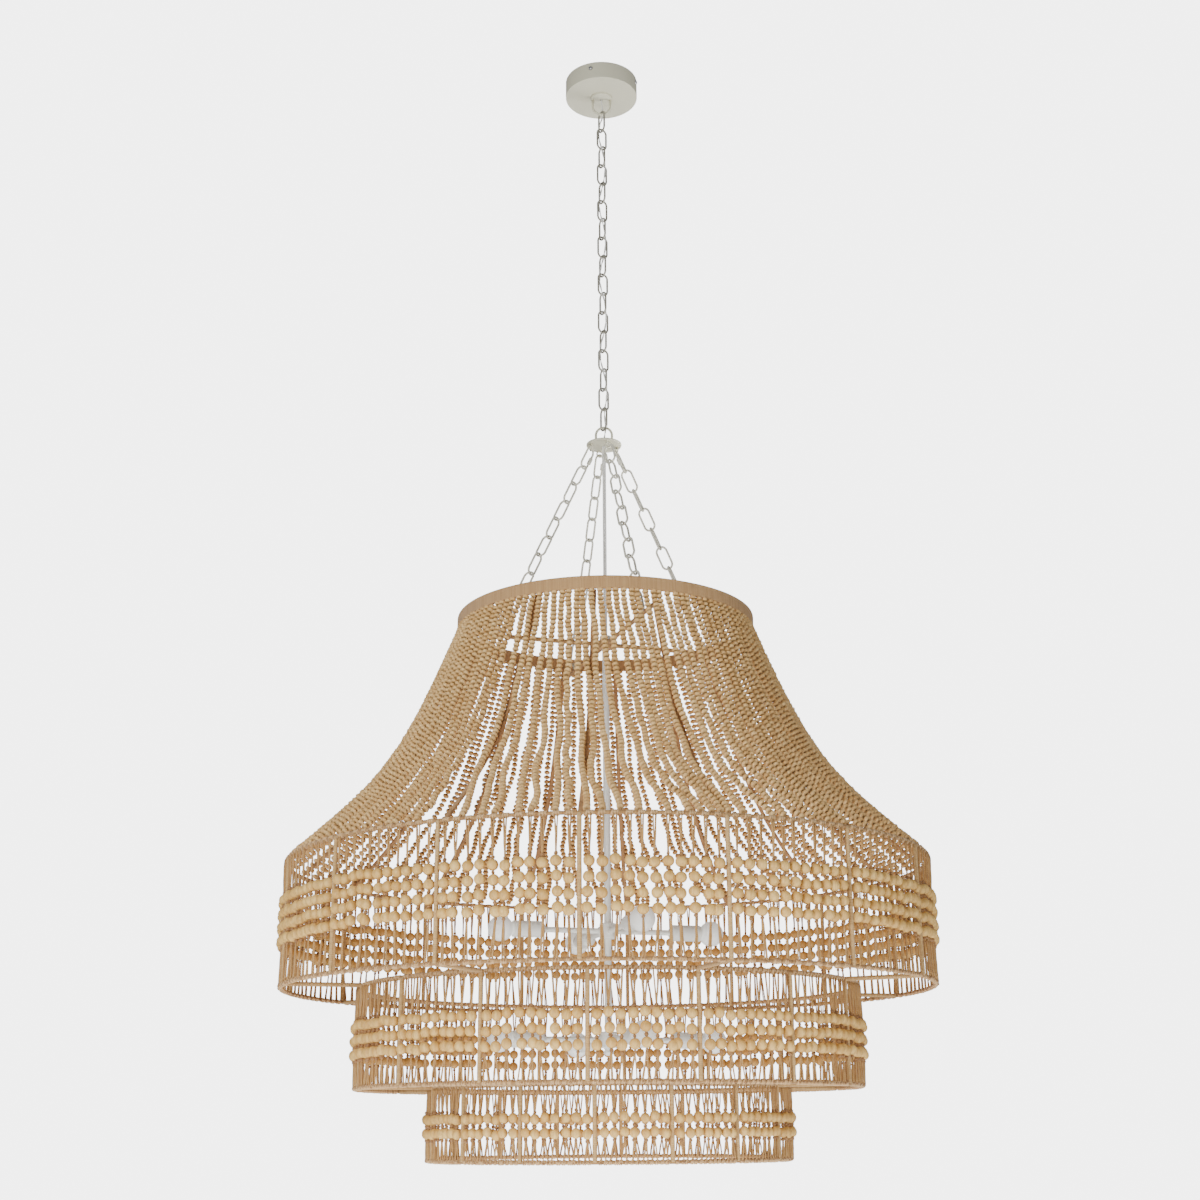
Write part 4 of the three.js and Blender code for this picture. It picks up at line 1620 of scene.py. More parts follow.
@dataclass
class Suspension:
    """The hub with its loop and eyes, four lower chains, the lamp cord and the crown brace."""

    plate_radius: float = 35
    plate_top: float = -838.3
    plate_bottom: float = -842.8
    plate_hole: float = 4.35
    plate_edge: float = 1.3
    loop_width: float = 37
    loop_wire: float = 5
    loop_bend: float = -802.8
    quarters: tuple[float, ...] = (18.2, 108.2, 198.2, 288.2)
    eye_radius: float = 6
    eye_wire: float = 3
    hub_eye_reach: float = 27
    hub_eye_level: float = -849.3
    brace_eye_reach: float = 203
    brace_eye_level: float = -1244.05
    link_count: int = 10
    link_width: float = 25.2
    link_wire: float = 4.3
    link_bite: float = 0.2
    link_turns: tuple[float, ...] = (34, 52, 28, 40)
    gap: float = 0.3
    sleeve_share: float = 0.26
    sleeve_edge: float = 0.6
    thread_share: float = 0.07
    thread_rings: int = 25
    thread_depth: float = 0.25
    cord_width: float = 7.5
    cord_bottom: float = -1246.5
    cord_steps: int = 160
    cord_sway: float = 0.3
    cord_wave: float = 290
    brace_level: float = -1254.8
    brace_rod: float = 4.25
    rod_bite: float = 3
    rib_gap: float = 0.6
    brace_hub: float = 15
    brace_hub_height: float = 16
    brace_hub_edge: float = 1.5
    stem_hole: float = 6.8
    rib_line: tuple[tuple[float, float], ...] = ()

    def build(self) -> None:
        """Models and dresses every piece."""
        self.hub()
        for number, angle in enumerate(self.quarters, 1):
            self.lower_chain(number, angle)
        self.lamp_cord()
        self.brace()

    def eye(self, angle: float, reach: float, level: float, facing: float) -> Piece:
        """Models a wire eye.

        Args:
            angle: its angle about the axis.
            reach: how far from the axis it stands.
            level: its middle's level.
            facing: how far it is turned from tangential.

        Returns:
            The eye, in place.
        """
        size = 2 * self.eye_radius + self.eye_wire
        ring = link_ring("eye", size, size, self.eye_wire)
        return placed(ring, shifted(polar(reach, angle, level)) @ about_z(angle + facing))

    def hub(self) -> None:
        """Turns the hub plate and adds its loop and eyes."""
        top, low = self.plate_top, self.plate_bottom
        plate = washer("plate", self.plate_hole, self.plate_radius, low, top, self.plate_edge, steps=72)
        wire = Yarn(16)
        wire.add(arch(self.loop_width, self.loop_wire, self.loop_bend, top - 1), self.loop_wire / 2)
        eyes = [self.eye(angle, self.hub_eye_reach, self.hub_eye_level, 0) for angle in self.quarters]
        dress(joined("chain_hub_looks", [plate, wire.piece("bow"), *eyes]), Finish.IVORY, SHADE, "chain_hub")

    def plain_link(self, length: float) -> Piece:
        """Models a wire oval of a lower chain."""
        return link_ring("link", length, self.link_width, self.link_wire)

    def quick_link(self, length: float) -> Piece:
        """Models the screwed link at the top of a lower chain: a wire oval with a threaded sleeve.

        Args:
            length: its length outside.

        Returns:
            The link, standing at the origin.
        """
        side = (self.link_width - self.link_wire) / 2
        height = self.sleeve_share * length
        bpy.ops.object.select_all(action="DESELECT")
        bpy.ops.mesh.primitive_cylinder_add(
            vertices=6, radius=self.link_wire * MM, depth=height * MM, location=(side * MM, 0, 0)
        )
        sleeve = bpy.context.object
        bpy.ops.object.transform_apply(location=True)
        sleeve = softened(sleeve, self.sleeve_edge)
        levels = np.linspace(height / 2, height / 2 + self.thread_share * length, self.thread_rings)
        ridges = self.link_wire / 2 + self.thread_depth * (np.arange(self.thread_rings) % 2)
        threads = Yarn(12)
        threads.add([(side, 0, level) for level in levels], ridges)
        return joined("quick_link", [self.plain_link(length), sleeve, threads.piece("threads")])

    def lower_chain(self, number: int, angle: float) -> None:
        """Hangs one lower chain from its hub eye to its brace eye.

        Args:
            number: its number.
            angle: its angle about the axis.
        """
        hook = self.eye_wire / 2 + self.gap + self.link_wire / 2
        start = polar(self.hub_eye_reach, angle, self.hub_eye_level - self.eye_radius)
        end = polar(self.brace_eye_reach, angle, self.brace_eye_level + self.eye_radius)
        along = unit(end - start)
        start = start - along * hook
        end = end + along * hook / abs(along[2])
        bite = self.link_wire - self.link_bite
        pitch = (float(np.linalg.norm(end - start)) + (self.link_count - 1) * bite) / self.link_count
        length = pitch + self.link_wire
        side = unit(np.cross(np.array(UP), -along))
        axes = Matrix([Vector(axis) for axis in (np.cross(side, -along), side, -along)])
        place = shifted(start) @ axes.transposed().to_4x4() @ about_z(self.link_turns[number - 1])
        links = []
        for k in range(self.link_count):
            link = self.plain_link(length) if k else self.quick_link(length)
            down = shifted((0, 0, -pitch / 2 - k * (pitch - bite)))
            links.append(placed(link, place @ down @ about_z(90 * (k % 2))))
        chain = joined(f"lower_chain_looks_{number}", links)
        dress(chain, Finish.PALE_CHAIN, SHADE, f"lower_chain_{number}")

    def lamp_cord(self) -> None:
        """Hangs the clear twin cord, hardly twisted, from the hub to the stem."""
        levels = np.linspace(self.plate_top, self.cord_bottom, self.cord_steps)
        core = self.cord_width / 4
        turn = self.cord_sway * np.sin(2 * math.pi * levels / self.cord_wave)
        yarn = Yarn(10)
        for sign in (1, -1):
            yarn.add(np.stack([sign * core * np.cos(turn), sign * core * np.sin(turn), levels], 1), core)
        dress(yarn.piece("lamp_cord_looks"), Finish.CORD, SHADE, "lamp_cord")

    def brace(self) -> None:
        """Winds the crown brace's crossed rods and adds its eyes and middle."""
        half = self.brace_hub_height / 2
        low, top = self.brace_level - half, self.brace_level + half
        ribs = np.array(self.rib_line)
        reach = float(np.interp(-self.brace_level, -ribs[:, 1], ribs[:, 0]))
        rods = Yarn(14)
        for angle in self.quarters:
            reaches = np.linspace(self.brace_hub - self.rod_bite, reach - self.rib_gap, 40)
            rods.add([polar(r, angle, self.brace_level) for r in reaches], self.brace_rod, tone=0.4)
        middle = washer("middle", self.stem_hole, self.brace_hub, low, top, self.brace_hub_edge)
        pieces = [rods.piece("rods"), wound(middle, False)]
        dress(joined("crown_brace_looks", pieces), Finish.WRAP, SHADE, "crown_brace")
        eyes = [self.eye(angle, self.brace_eye_reach, self.brace_eye_level, 90) for angle in self.quarters]
        dress(joined("crown_brace_eyes", eyes), Finish.PALE_CHAIN, SHADE)


# Flare


@dataclass
class Sway:
    """How the strands wander sideways: even at the band, and drawn into groups with gaps below."""

    rng: np.random.Generator
    strands: int
    stops: tuple[float, ...] = (0.0, 0.3, 0.65, 1.0)
    touching: tuple[float, ...] = (0.93, 0.76, 0.6, 0.42)
    lasting_share: float = 0.75
    waves: tuple[tuple[float, float], ...] = ((0.10, 9), (0.08, 23), (0.05, 57))

    def __post_init__(self) -> None:
        """Draws the strands' places at each stop, and their waves."""
        lasting = self.rng.exponential(1, self.strands)
        rows = []
        for least in self.touching:
            passing = self.rng.exponential(1, self.strands)
            gaps = least + (1 - least) * (self.lasting_share * lasting + (1 - self.lasting_share) * passing)
            places = np.cumsum(gaps * self.strands / gaps.sum())
            rows.append(places - np.mean(places - np.arange(self.strands) - 0.5))
        self.rows = np.array(rows)
        self.swells = self.rng.normal(0, 1, (self.strands, len(self.waves)))
        self.phases = self.rng.uniform(0, 6.3, (self.strands, len(self.waves)))

    def angles(self, strand: int, share: np.ndarray) -> np.ndarray:
        """Works out where a strand hangs.

        Args:
            strand: its number.
            share: shares of its length.

        Returns:
            Its angles there, in degrees from the first rib.
        """
        stops = np.array(self.stops)
        k = np.clip(np.searchsorted(stops, share, side="right") - 1, 0, len(stops) - 2)
        part = (share - stops[k]) / (stops[k + 1] - stops[k])
        part = part * part * (3 - 2 * part)
        place = self.rows[k, strand] * (1 - part) + self.rows[k + 1, strand] * part
        swells = zip(self.waves, self.swells[strand], self.phases[strand])
        bend = sum(size * swell * np.sin(turns * share + phase) for (size, turns), swell, phase in swells)
        return 360 / self.strands * (place + bend)


@dataclass
class Flare:
    """The wrapped band, sixteen ribs and the strands of small beads that fall from it in a bell."""

    band_radius: float = 284
    band_thickness: float = 7
    band_top: float = -1207.6
    band_bottom: float = -1231.6
    band_edge: float = 3.2
    ring_radius: float = 580.5
    ring_level: float = -1684.4
    waist: tuple[float, float] = (390.74, -1516.9)
    pull: float = 0.9
    end_gap: float = 8
    thickness: float = 11.5
    bays: int = 16
    frame_angle: float = 18.2
    rib_width: float = 8
    rib_thickness: float = 5
    rib_offset: float = 6.44
    rib_edge: float = 1.6
    rib_steps: int = 49
    strands: int = 128
    quarters: int = 4
    bead_width: float = 12.9
    bead_pitch: float = 9.6
    bead_widths: tuple[float, float] = (0.9, 1.04)
    bead_lengths: tuple[float, float] = (0.88, 1.0)
    bead_lean: float = 0.9
    bead_spin: float = 6.3
    bead_tone: float = 0.45
    tone_spread: float = 0.2
    strand_tone: float = 0.18
    bead_shift: tuple[float, float] = (0.35, 0.3)
    string: float = 0.8
    string_top: tuple[float, float] = (1.5, 3.5)
    string_end: tuple[float, float] = (3.0, 5.0)
    string_foot: tuple[float, float] = (-1.5, 4.6)
    string_room: float = 7
    seed: int = 5

    def bell(self, offset: float, count: int) -> np.ndarray:
        """Draws a line beside the bell's middle line.

        Args:
            offset: how far outside it the line runs.
            count: the number of points wanted.

        Returns:
            The points, as radius and level.
        """
        top = np.array([self.band_radius - self.thickness / 2, self.band_bottom - 0.3])
        end = np.array([self.ring_radius, self.ring_level])
        waist = np.array(self.waist)
        end = end - unit(end - waist) * self.end_gap
        first, second = top + (waist - top) * self.pull, end + (waist - end) * self.pull
        t = np.linspace(0, 1, count)[:, None]
        line = (1 - t) ** 3 * top + 3 * t * (1 - t) ** 2 * first + 3 * t**2 * (1 - t) * second + t**3 * end
        way = unit(np.gradient(line, axis=0))
        return line + offset * np.stack([-way[:, 1], way[:, 0]], 1)

    def rib_inside(self) -> list[tuple[float, float]]:
        """Gives the ribs' inner line."""
        return [tuple(point) for point in self.bell(-self.rib_offset - self.rib_thickness, 41)]

    def build(self) -> None:
        """Models and dresses every piece."""
        self.band()
        self.ribs()
        self.beads()

    def band(self) -> None:
        """Turns the wrapped band."""
        inner, outer = self.band_radius - self.band_thickness, self.band_radius
        low, top = self.band_bottom, self.band_top
        middle = (inner + outer) / 2
        corners = [(middle, low), (outer, low), (outer, top), (inner, top), (inner, low), (middle, low)]
        outline = rounded(corners, self.band_edge, 5)[:-1]
        dress(wound(turned("flare_band", outline, 288, closed=True), True), Finish.WRAP, SHADE, "flare_frame")

    def ribs(self) -> None:
        """Models one rib as a bent strip, rounds its edges and sets sixteen."""
        outer = self.bell(-self.rib_offset, self.rib_steps)
        inner = self.bell(-self.rib_offset - self.rib_thickness, self.rib_steps)
        outer[0, 1] = inner[0, 1] = self.band_bottom + 2
        count = self.rib_steps
        points = [(-self.rib_width / 2 * MM, -r * MM, z * MM) for line in (outer, inner) for r, z in line]
        mesh = bpy.data.meshes.new("rib")
        mesh.from_pydata(points, [], [(k, k + 1, count + k + 1, count + k) for k in range(count - 1)])
        rib = shown("rib", mesh)
        with editing(rib):
            bpy.ops.mesh.extrude_region_move(TRANSFORM_OT_translate={"value": (self.rib_width * MM, 0, 0)})
            bpy.ops.mesh.select_all(action="SELECT")
            bpy.ops.mesh.normals_make_consistent(inside=False)
        rib = wound(softened(rib, self.rib_edge, 3, 60), False)
        turns = [about_z(self.frame_angle + k * 360 / self.bays) for k in range(self.bays)]
        dress(joined("flare_ribs", copies(rib, "rib", turns)), Finish.RIB, SHADE, "flare_frame")

    def beads(self) -> None:
        """Strings the small beads, each strand with its own sway, in four quarters."""
        rng = np.random.default_rng(self.seed)
        line = self.bell(0, 400)
        bead = bead_shape(8, 6, 0.25)
        strings = Yarn(4)
        sway = Sway(rng, self.strands)
        size = self.strands // self.quarters
        for part in range(self.quarters):
            strands = range(part * size, (part + 1) * size)
            drawn = [self.strand(rng, line, sway, strand, strings) for strand in strands]
            stock = [np.concatenate(values) for values in zip(*drawn)]
            piece = stamped(f"flare_beads_{part + 1}", bead, *stock)
            dress(piece, Finish.SMALL_BEADS, SHADE, "flare_strands")
        dress(strings.piece("flare_strings"), Finish.STRING, SHADE, "flare_strands")

    def strand(
        self, rng: np.random.Generator, line: np.ndarray, sway: Sway, strand: int, strings: Yarn
    ) -> tuple[np.ndarray, np.ndarray, np.ndarray]:
        """Strings one strand.

        Args:
            rng: the bell's random numbers.
            line: the bell's middle line.
            sway: how the strands wander.
            strand: the strand's number.
            strings: takes its string.

        Returns:
            Its beads' places, turns and colour shares.
        """
        far = travelled(line)
        count = round((far[-1] - self.string_room) / self.bead_pitch)
        steps = np.linspace(rng.uniform(*self.string_top), far[-1] - rng.uniform(*self.string_end), count)
        reach = np.interp(steps, far, line[:, 0]) + rng.normal(0, self.bead_shift[0], count)
        level = np.interp(steps, far, line[:, 1]) + rng.normal(0, self.bead_shift[1], count)
        angle = np.radians(self.frame_angle + sway.angles(strand, steps / far[-1]))
        middle = np.stack([reach * np.sin(angle), -reach * np.cos(angle), level], 1)
        along = np.gradient(middle, axis=0) + rng.normal(0, self.bead_lean, (count, 3))
        wide = self.bead_width / 2 * rng.uniform(*self.bead_widths, count)
        tall = self.bead_pitch / 2 * rng.uniform(*self.bead_lengths, count)
        turns = upright(along, wide, tall, rng.uniform(0, self.bead_spin, count))
        own = rng.uniform(-self.strand_tone, self.strand_tone)
        tones = np.clip(rng.normal(self.bead_tone + own, self.tone_spread, count), 0, 1)
        top = middle[0] + np.array([0, 0, self.bead_pitch * 0.7])
        inset, rise = self.string_foot
        foot = polar(self.ring_radius + inset, math.degrees(angle[-1]), self.ring_level + rise)
        strings.add([top, *middle[:: max(1, count // 8)], middle[-1], foot], self.string)
        return middle, turns, tones


# Tiers


@dataclass(frozen=True)
class Scatter:
    """How far a tier's rings, strings and beads stray, in millimetres, and the share of the beads' lean."""

    slip: float = 0.9
    lift: float = 1.3
    tilt: float = 1.2
    bead_slip: float = 0.35
    bead_lift: float = 0.5
    bead_sink: float = 0.7
    bead_lean: float = 0.09
    ring: float = 0.08
    leg: float = 0.6
    leg_bend: float = 0.35
    fray: float = 0.12


@dataclass
class Stock:
    """What a curtain is gathered in while it is strung, column by column."""

    rng: np.random.Generator
    strings: Yarn = field(default_factory=lambda: Yarn(4))
    loops: Yarn = field(default_factory=lambda: Yarn(4))
    beads: list[tuple[np.ndarray, np.ndarray, np.ndarray]] = field(default_factory=list)
    knots: list[np.ndarray] = field(default_factory=list)
    sizes: list[float] = field(default_factory=list)


@dataclass
class Tier:
    """One tier: two wrapped rings, posts, spokes, and a curtain of strung beads."""

    number: int
    radius: float
    top: float
    bottom: float
    rows: tuple[float, ...]
    bay_columns: int
    spread: float
    outer_radius: float = 0.0
    bead_reach: float = 0.0
    bays: int = 16
    frame_angle: float = 18.2
    rod: float = 3.2
    ring_steps: int = 288
    # painted shade: the rings are darkened past the raffia's dark colour, so the gaps between the string
    # loops read as shade
    ring_shade_tone: float = 1.7
    post: float = 3.8
    post_inset: float = -1.0
    post_room: float = 0.25
    ring_widths: tuple[float, float] = (0.97, 1.03)
    post_widths: tuple[float, float] = (0.96, 1.03)
    post_tones: tuple[float, float] = (0.0, 0.3)
    spoke_tones: tuple[float, float] = (0.2, 0.6)
    bead: float = 19.2
    bead_height: float = 18.2
    bead_widths: tuple[float, float] = (0.93, 1.0)
    bead_lengths: tuple[float, float] = (0.96, 1.02)
    bead_spin: float = 6
    bead_tone: float = 0.42
    tone_spread: float = 0.24
    string: float = 1.7
    end_knot: float = 3.1
    middle_knot: float = 3.2
    ring_knot: float = 2.4
    knot_gap: float = 2.2
    knot_widths: tuple[float, float] = (0.85, 1.2)
    knot_lengths: tuple[float, float] = (0.9, 1.3)
    knot_drops: tuple[float, float] = (-1.5, 3.0)
    leg_gap: float = 0.4
    leg_lap: float = 1.5
    leg_spreads: tuple[float, float] = (0.75, 1.15)
    leg_widths: tuple[float, float] = (0.8, 1.12)
    loop_reach: float = 2.85
    loop_wire: float = 1.9
    loop_widths: tuple[float, float] = (0.85, 1.1)
    loop_tones: tuple[float, float] = (0, 0.5)
    loop_turns: int = 2
    loop_pitch: float = 1.6
    loop_lean: float = 0.9
    scatter: Scatter = Scatter()
    seed: int = 11

    def build(self) -> None:
        """Models and dresses every piece."""
        self.frame()
        self.curtain()

    def angle(self, column: int) -> float:
        """Works out a column's angle; columns stand between the posts, with room beside each post.

        Args:
            column: its number.

        Returns:
            The angle, in degrees.
        """
        bay, place = divmod(column, self.bay_columns)
        share = (place + 0.5 + self.post_room) / (self.bay_columns + 2 * self.post_room)
        return self.frame_angle + (bay + share) * 360 / self.bays

    def frame(self) -> None:
        """Winds the two rings, the posts and the spokes."""
        rng = np.random.default_rng(self.seed + self.number)
        rods = Yarn(12)
        for level in (self.top, self.bottom):
            path = ring_path(self.radius, level, self.ring_steps)
            path += rng.normal(0, self.scatter.ring, path.shape)
            wire = self.rod * rng.uniform(*self.ring_widths, self.ring_steps)
            # the rings take the painted shade tone
            rods.add(path, wire, closed=True, tone=self.ring_shade_tone)
        bay_angles = [self.frame_angle + k * 360 / self.bays for k in range(self.bays)]
        for degrees in bay_angles:
            levels = np.linspace(self.bottom, self.top, 36)
            line = [polar(self.radius - self.post_inset, degrees, level) for level in levels]
            wire = self.post * rng.uniform(*self.post_widths, len(line))
            rods.add(line, wire, tone=rng.uniform(*self.post_tones))
        if self.outer_radius:
            end = self.outer_radius - self.post_inset - self.post - 0.5
            for degrees in bay_angles[::2]:
                line = [polar(reach, degrees, self.top) for reach in np.linspace(self.radius, end, 30)]
                wire = self.post * rng.uniform(*self.post_widths, len(line))
                rods.add(line, wire, tone=rng.uniform(*self.spoke_tones))
        dress(rods.piece(f"tier_{self.number}_rods"), Finish.ROD, SHADE, f"tier_{self.number}_frame")

    def curtain(self) -> None:
        """Strings the beads, knots the strings and loops them round both rings."""
        rng = np.random.default_rng(self.seed * 7 + self.number)
        stock = Stock(rng)
        for column in range(self.bays * self.bay_columns):
            self.column(stock, column)
        name, node = f"tier_{self.number}", f"tier_{self.number}_beads"
        beads = [np.concatenate(values) for values in zip(*stock.beads)]
        dress(stamped(f"{name}_bead_curtain", bead_shape(14, 9, 0.16), *beads), Finish.BEADS, SHADE, node)
        knots, sizes = np.array(stock.knots), np.array(stock.sizes)
        sizes = sizes * rng.uniform(*self.knot_widths, len(sizes))
        ways = rng.normal(0, 1, knots.shape)
        turns = upright(ways, sizes, sizes * rng.uniform(*self.knot_lengths, len(sizes)), sizes)
        tied = stamped(f"{name}_knots", bead_shape(6, 4, 0.0), knots, turns, rng.uniform(0, 1, len(knots)))
        dress(tied, Finish.KNOT, SHADE, node)
        dress(stock.strings.piece(f"{name}_strings"), Finish.STRING, SHADE, node)
        # the loops take the paler raffia, a painted highlight
        dress(stock.loops.piece(f"{name}_loops"), Finish.LOOP, SHADE, node)

    def column(self, stock: Stock, column: int) -> None:
        """Strings one column of beads.

        Args:
            stock: the curtain so far.
            column: the column's number.
        """
        rng, scatter = stock.rng, self.scatter
        half = self.bead_height / 2
        degrees = self.angle(column) + self.aside(rng.normal(0, scatter.slip))
        lift = rng.normal(0, scatter.lift)
        tilt = self.aside(rng.normal(0, scatter.tilt))
        middles = []
        for k, row in enumerate(self.rows):
            at = degrees + tilt * k + self.aside(rng.normal(0, scatter.bead_slip))
            level = row + lift + rng.normal(0, scatter.bead_lift)
            middles.append(polar(self.bead_reach - abs(rng.normal(0, scatter.bead_sink)), at, level))
        middles = np.array(middles)
        count = len(middles)
        lean = np.array(UP) + rng.normal(0, scatter.bead_lean, (count, 3))
        wide = self.bead / 2 * rng.uniform(*self.bead_widths, count)
        tall = half * rng.uniform(*self.bead_lengths, count)
        turns = upright(lean, wide, tall, rng.uniform(0, self.bead_spin, count))
        tones = np.clip(rng.normal(self.bead_tone, self.tone_spread, count), 0, 1)
        stock.beads.append((middles, turns, tones))
        rise = np.array([0, 0, half + self.knot_gap])
        up, low = middles[0] + rise, middles[-1] - rise
        halfway = (middles[:-1] + middles[1:]) / 2
        stock.knots += [up, low, *halfway]
        stock.sizes += [self.end_knot] * 2 + [self.middle_knot] * len(halfway)
        stock.strings.add([up, *middles, low], self.string, tone=rng.uniform(0, 1))
        self.legs(stock, up, degrees, self.top, -1)
        self.legs(stock, low, degrees, self.bottom, 1)

    def aside(self, shift: float) -> float:
        """Gives the degrees by which a shift of so many millimetres goes round the tier."""
        return math.degrees(shift / self.radius)

    def legs(self, stock: Stock, end: np.ndarray, degrees: float, level: float, sign: int) -> None:
        """Runs a string's legs from its knot to a ring and ties them there.

        Args:
            stock: the curtain so far.
            end: the knot's place.
            degrees: the column's angle.
            level: the ring's level.
            sign: minus one where the legs come down from the ring, one where they go down to it.
        """
        rng, scatter = stock.rng, self.scatter
        two = self.spread > 0
        for side in (-1, 1) if two else (0,):
            away = side * self.spread * rng.uniform(*self.leg_spreads) if two else rng.normal(0, scatter.leg)
            at = degrees + self.aside(away)
            foot = polar(self.radius + self.rod + self.leg_gap, at, level + sign * self.leg_lap)
            middle = (end + foot) / 2 + rng.normal(0, scatter.leg_bend, 3)
            line = evenly(np.array([end, middle, foot]), 7)
            line = line + rng.normal(0, scatter.fray, line.shape)
            wire = self.string * rng.uniform(*self.leg_widths, len(line))
            stock.strings.add(line, wire, tone=rng.uniform(0, 1))
            self.loop(stock, at, level)
            if sign > 0 or not two:
                knot_level = level + sign * rng.uniform(*self.knot_drops)
                stock.knots.append(polar(self.radius + self.rod - 0.2, at, knot_level))
                stock.sizes.append(self.ring_knot)

    def loop(self, stock: Stock, degrees: float, level: float) -> None:
        """Loops a string round a ring.

        Args:
            stock: the curtain so far.
            degrees: the angle of the place.
            level: the ring's level.
        """
        wire = self.loop_wire * stock.rng.uniform(*self.loop_widths)
        tone = stock.rng.uniform(*self.loop_tones)
        for k in range(self.loop_turns):
            shift = (k - (self.loop_turns - 1) / 2) * self.loop_pitch * wire
            turn = []
            for a in np.linspace(0, 2 * math.pi, 9)[:-1]:
                at = degrees + self.aside(self.loop_lean * math.sin(a) + shift)
                reach, rise = self.loop_reach * math.cos(a), self.loop_reach * math.sin(a)
                turn.append(polar(self.radius + reach, at, level + rise))
            stock.loops.add(turn, wire, closed=True, tone=tone)


# Lamps


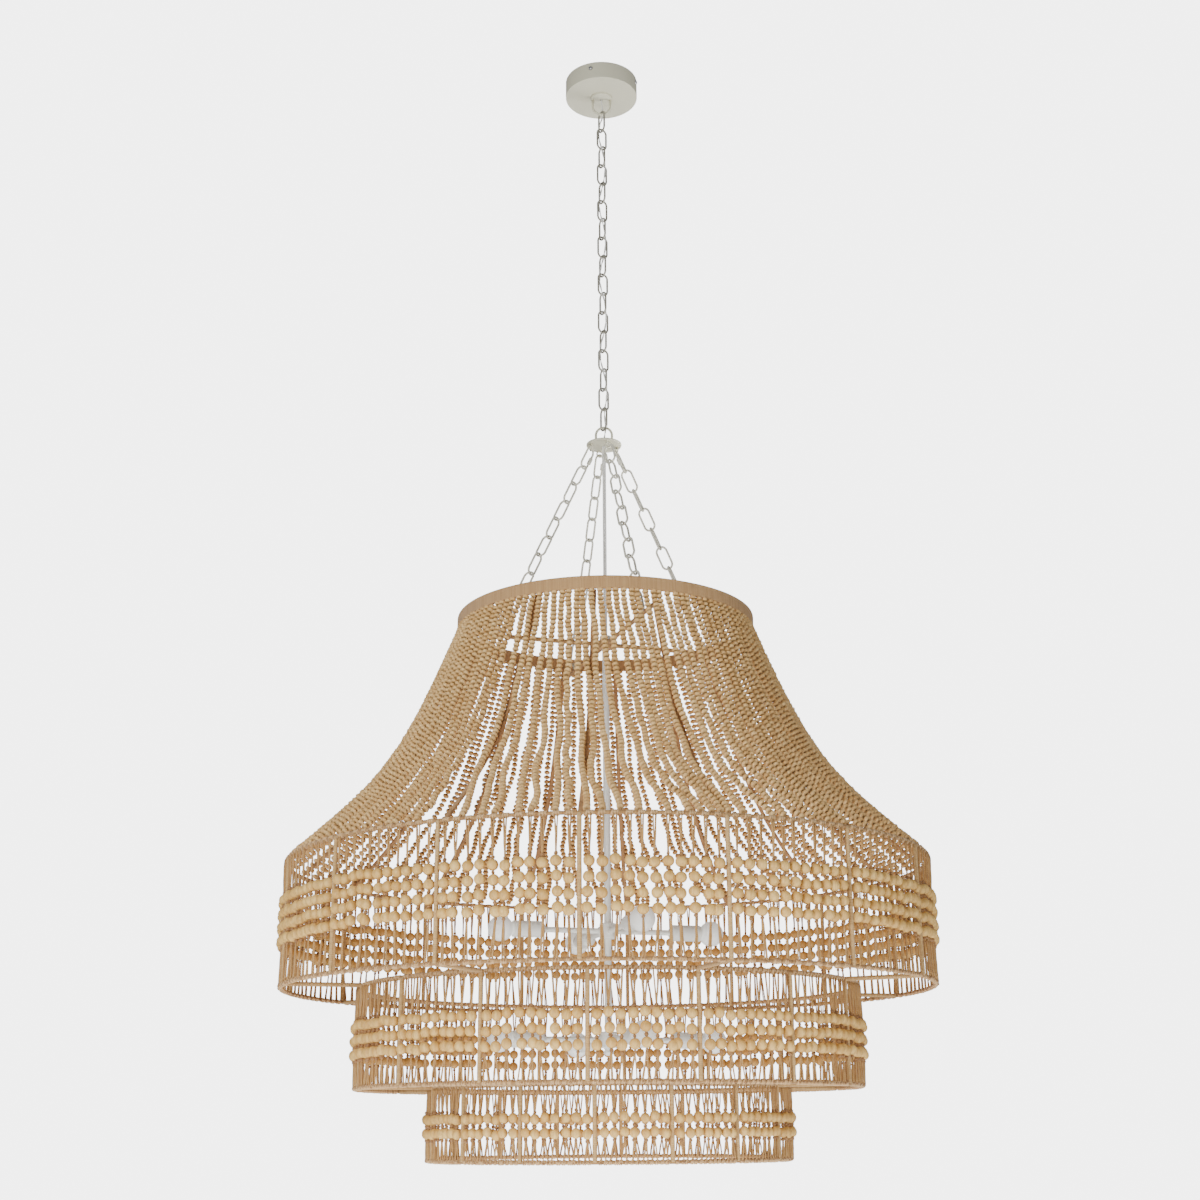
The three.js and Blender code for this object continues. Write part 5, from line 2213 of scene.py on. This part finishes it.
@dataclass
class Lamps:
    """The stem, two four-armed clusters, eight sockets and eight frosted bulbs."""

    stem: float = 6.5
    stem_top: float = -1237.5
    stem_bottom: float = -2016
    collar: float = 11
    collar_height: float = 9
    collar_edge: float = 1.6
    cord_hole: float = 4.2
    cord_depth: float = 14
    finial: float = 9
    finial_height: float = 13
    finial_turn: float = 0.78
    levels: tuple[tuple[str, float], ...] = (("upper", -1797.0), ("lower", -1988.5))
    angle: float = 17
    arm_count: int = 4
    cluster: float = 15
    cluster_height: float = 28
    cluster_edge: float = 2.4
    fit: float = 0.3
    arm: float = 5
    arm_lap: float = 7.7
    nut_rim: float = 2.2
    nut_height: float = 3
    nut_edge: float = 0.6
    nut_gap: float = 1.2
    socket_start: float = 119
    socket_length: float = 59
    socket: float = 14.5
    socket_wall: float = 1.6
    socket_edge: float = 1.2
    socket_bead: float = 0.5
    cup: float = 30
    bulb: float = 22.75
    bulb_tip: float = 223
    cap: float = 12.3
    cap_length: float = 29

    def build(self) -> None:
        """Models and dresses every piece."""
        self.rod()
        for name, level in self.levels:
            self.arms(name, level)
        self.sockets()
        self.bulbs()

    def rod(self) -> None:
        """Turns the stem with its collar and finial."""
        low, top, height = self.stem_bottom, self.stem_top, self.finial_height
        step = top - self.collar_height
        knob = [
            (self.finial * math.sin(a), low + height * 0.42 * (1 - math.cos(a)))
            for a in np.linspace(0, math.pi * self.finial_turn, 12)
        ]
        collar = [(self.stem + 0.5, step), (self.collar, step), (self.collar, top), (self.cord_hole, top)]
        outline = [
            *knob,
            (self.stem * 1.25, low + height * 0.9),
            (self.stem * 1.25, low + height),
            (self.stem, low + height + 0.5),
            (self.stem, step),
            *rounded(collar, self.collar_edge),
            (self.cord_hole - 0.15, top - self.cord_depth),
            (0, top - self.cord_depth),
        ]
        dress(turned("lamp_stem_looks", outline, 40), Finish.LAMP, SHADE, "lamp_stem")

    def arms(self, name: str, level: float) -> None:
        """Turns a cluster's body and adds its four arms.

        Args:
            name: the cluster's name.
            level: its middle's level.
        """
        half = self.cluster_height / 2
        hole = self.stem + self.fit
        body = washer("cluster", hole, self.cluster, level - half, level + half, self.cluster_edge, 5)
        angles = [self.angle + 90 * k for k in range(self.arm_count)]
        tubes = Yarn(16)
        for angle in angles:
            reaches = np.linspace(self.cluster - 2, self.socket_start + self.arm_lap, 12)
            tubes.add([polar(reach, angle, level) for reach in reaches], self.arm)
        rim, side = self.arm + self.nut_rim, self.nut_height / 2
        outline = rounded([(self.arm, -side), (rim, -side), (rim, side), (self.arm, side)], self.nut_edge)
        reach = self.cluster + self.nut_gap
        nuts = [placed(turned("nut", outline, 24), outward(angle, reach, level)) for angle in angles]
        pieces = [body, tubes.piece("arms"), *nuts]
        dress(joined(f"{name}_arms_looks", pieces), Finish.LAMP, SHADE, f"{name}_lamp_arms")

    def set_eight(self, master: Piece, part: str, finish: Finish) -> None:
        """Copies a piece to the eight lamps, upper ones first, and dresses each copy.

        Args:
            master: the piece, with its axis up from the cluster's middle.
            part: what it is.
            finish: its finish.
        """
        lamps = [(name, level, k) for name, level in self.levels for k in range(self.arm_count)]
        places = [outward(self.angle + 90 * k, 0, level) for _, level, k in lamps]
        for piece, (name, _, k) in zip(copies(master, f"{part}_looks", places), lamps):
            dress(piece, finish, SHADE, f"{name}_{part}_{k + 1}")

    def sockets(self) -> None:
        """Turns one socket and sets eight."""
        start, end, out = self.socket_start, self.socket_start + self.socket_length, self.socket
        lip, floor = out - self.socket_wall, end - self.cup
        shell = [(self.arm + 0.8, start), (out * 0.62, start), (out, start + 5), (out, end), (lip, end)]
        outline = [(self.arm + self.fit, start), *rounded(shell, self.socket_edge), (lip, floor), (0, floor)]
        socket = turned("socket", outline, 48)
        bead = Yarn(6)
        bead.add(ring_path(out - self.socket_bead / 2, end - 2.5, 48), self.socket_bead, closed=True)
        self.set_eight(joined("socket", [socket, bead.piece("rim")]), "socket", Finish.LAMP)

    def bulbs(self) -> None:
        """Turns one frosted globe on its cap and sets eight."""
        mouth = self.socket_start + self.socket_length + self.fit
        foot, centre = mouth - self.cap_length, self.bulb_tip - self.bulb
        neck = math.asin((self.cap - 0.4) / self.bulb)
        angles = np.linspace(neck, math.pi, 26)[:-1]
        globe = [(self.bulb * math.sin(a), centre - self.bulb * math.cos(a)) for a in angles]
        outline = [(0, foot), (self.cap - 1.5, foot), (self.cap - 0.6, foot + 9), *globe, (0, self.bulb_tip)]
        self.set_eight(turned("bulb", outline, 48), "bulb", Finish.GLASS)


def main() -> None:
    """Builds the scene in order."""
    logging.basicConfig(level=logging.INFO, format="%(message)s")
    Studio().build()
    Canopy().build()
    MainChain().build()
    flare = Flare()
    Suspension(rib_line=tuple(flare.rib_inside())).build()
    flare.build()
    for tier in (
        Tier(1, 580.5, -1684.4, -1901.5, (-1757.6, -1780.8, -1804.0, -1827.2), 11, 2.4, bead_reach=583.3),
        Tier(2, 445, -1901.5, -2070.9, (-1970.0, -1993.2, -2016.4), 9, 4.5, 580.5, 449.7, bead=18.4),
        Tier(3, 316, -2070.9, -2190.2, (-2123.0, -2146.2), 7, 4.8, 445, 320.7, bead=16.6, bead_height=17.2),
    ):
        tier.build()
    Lamps().build()


if __name__ == "__main__":
    main()
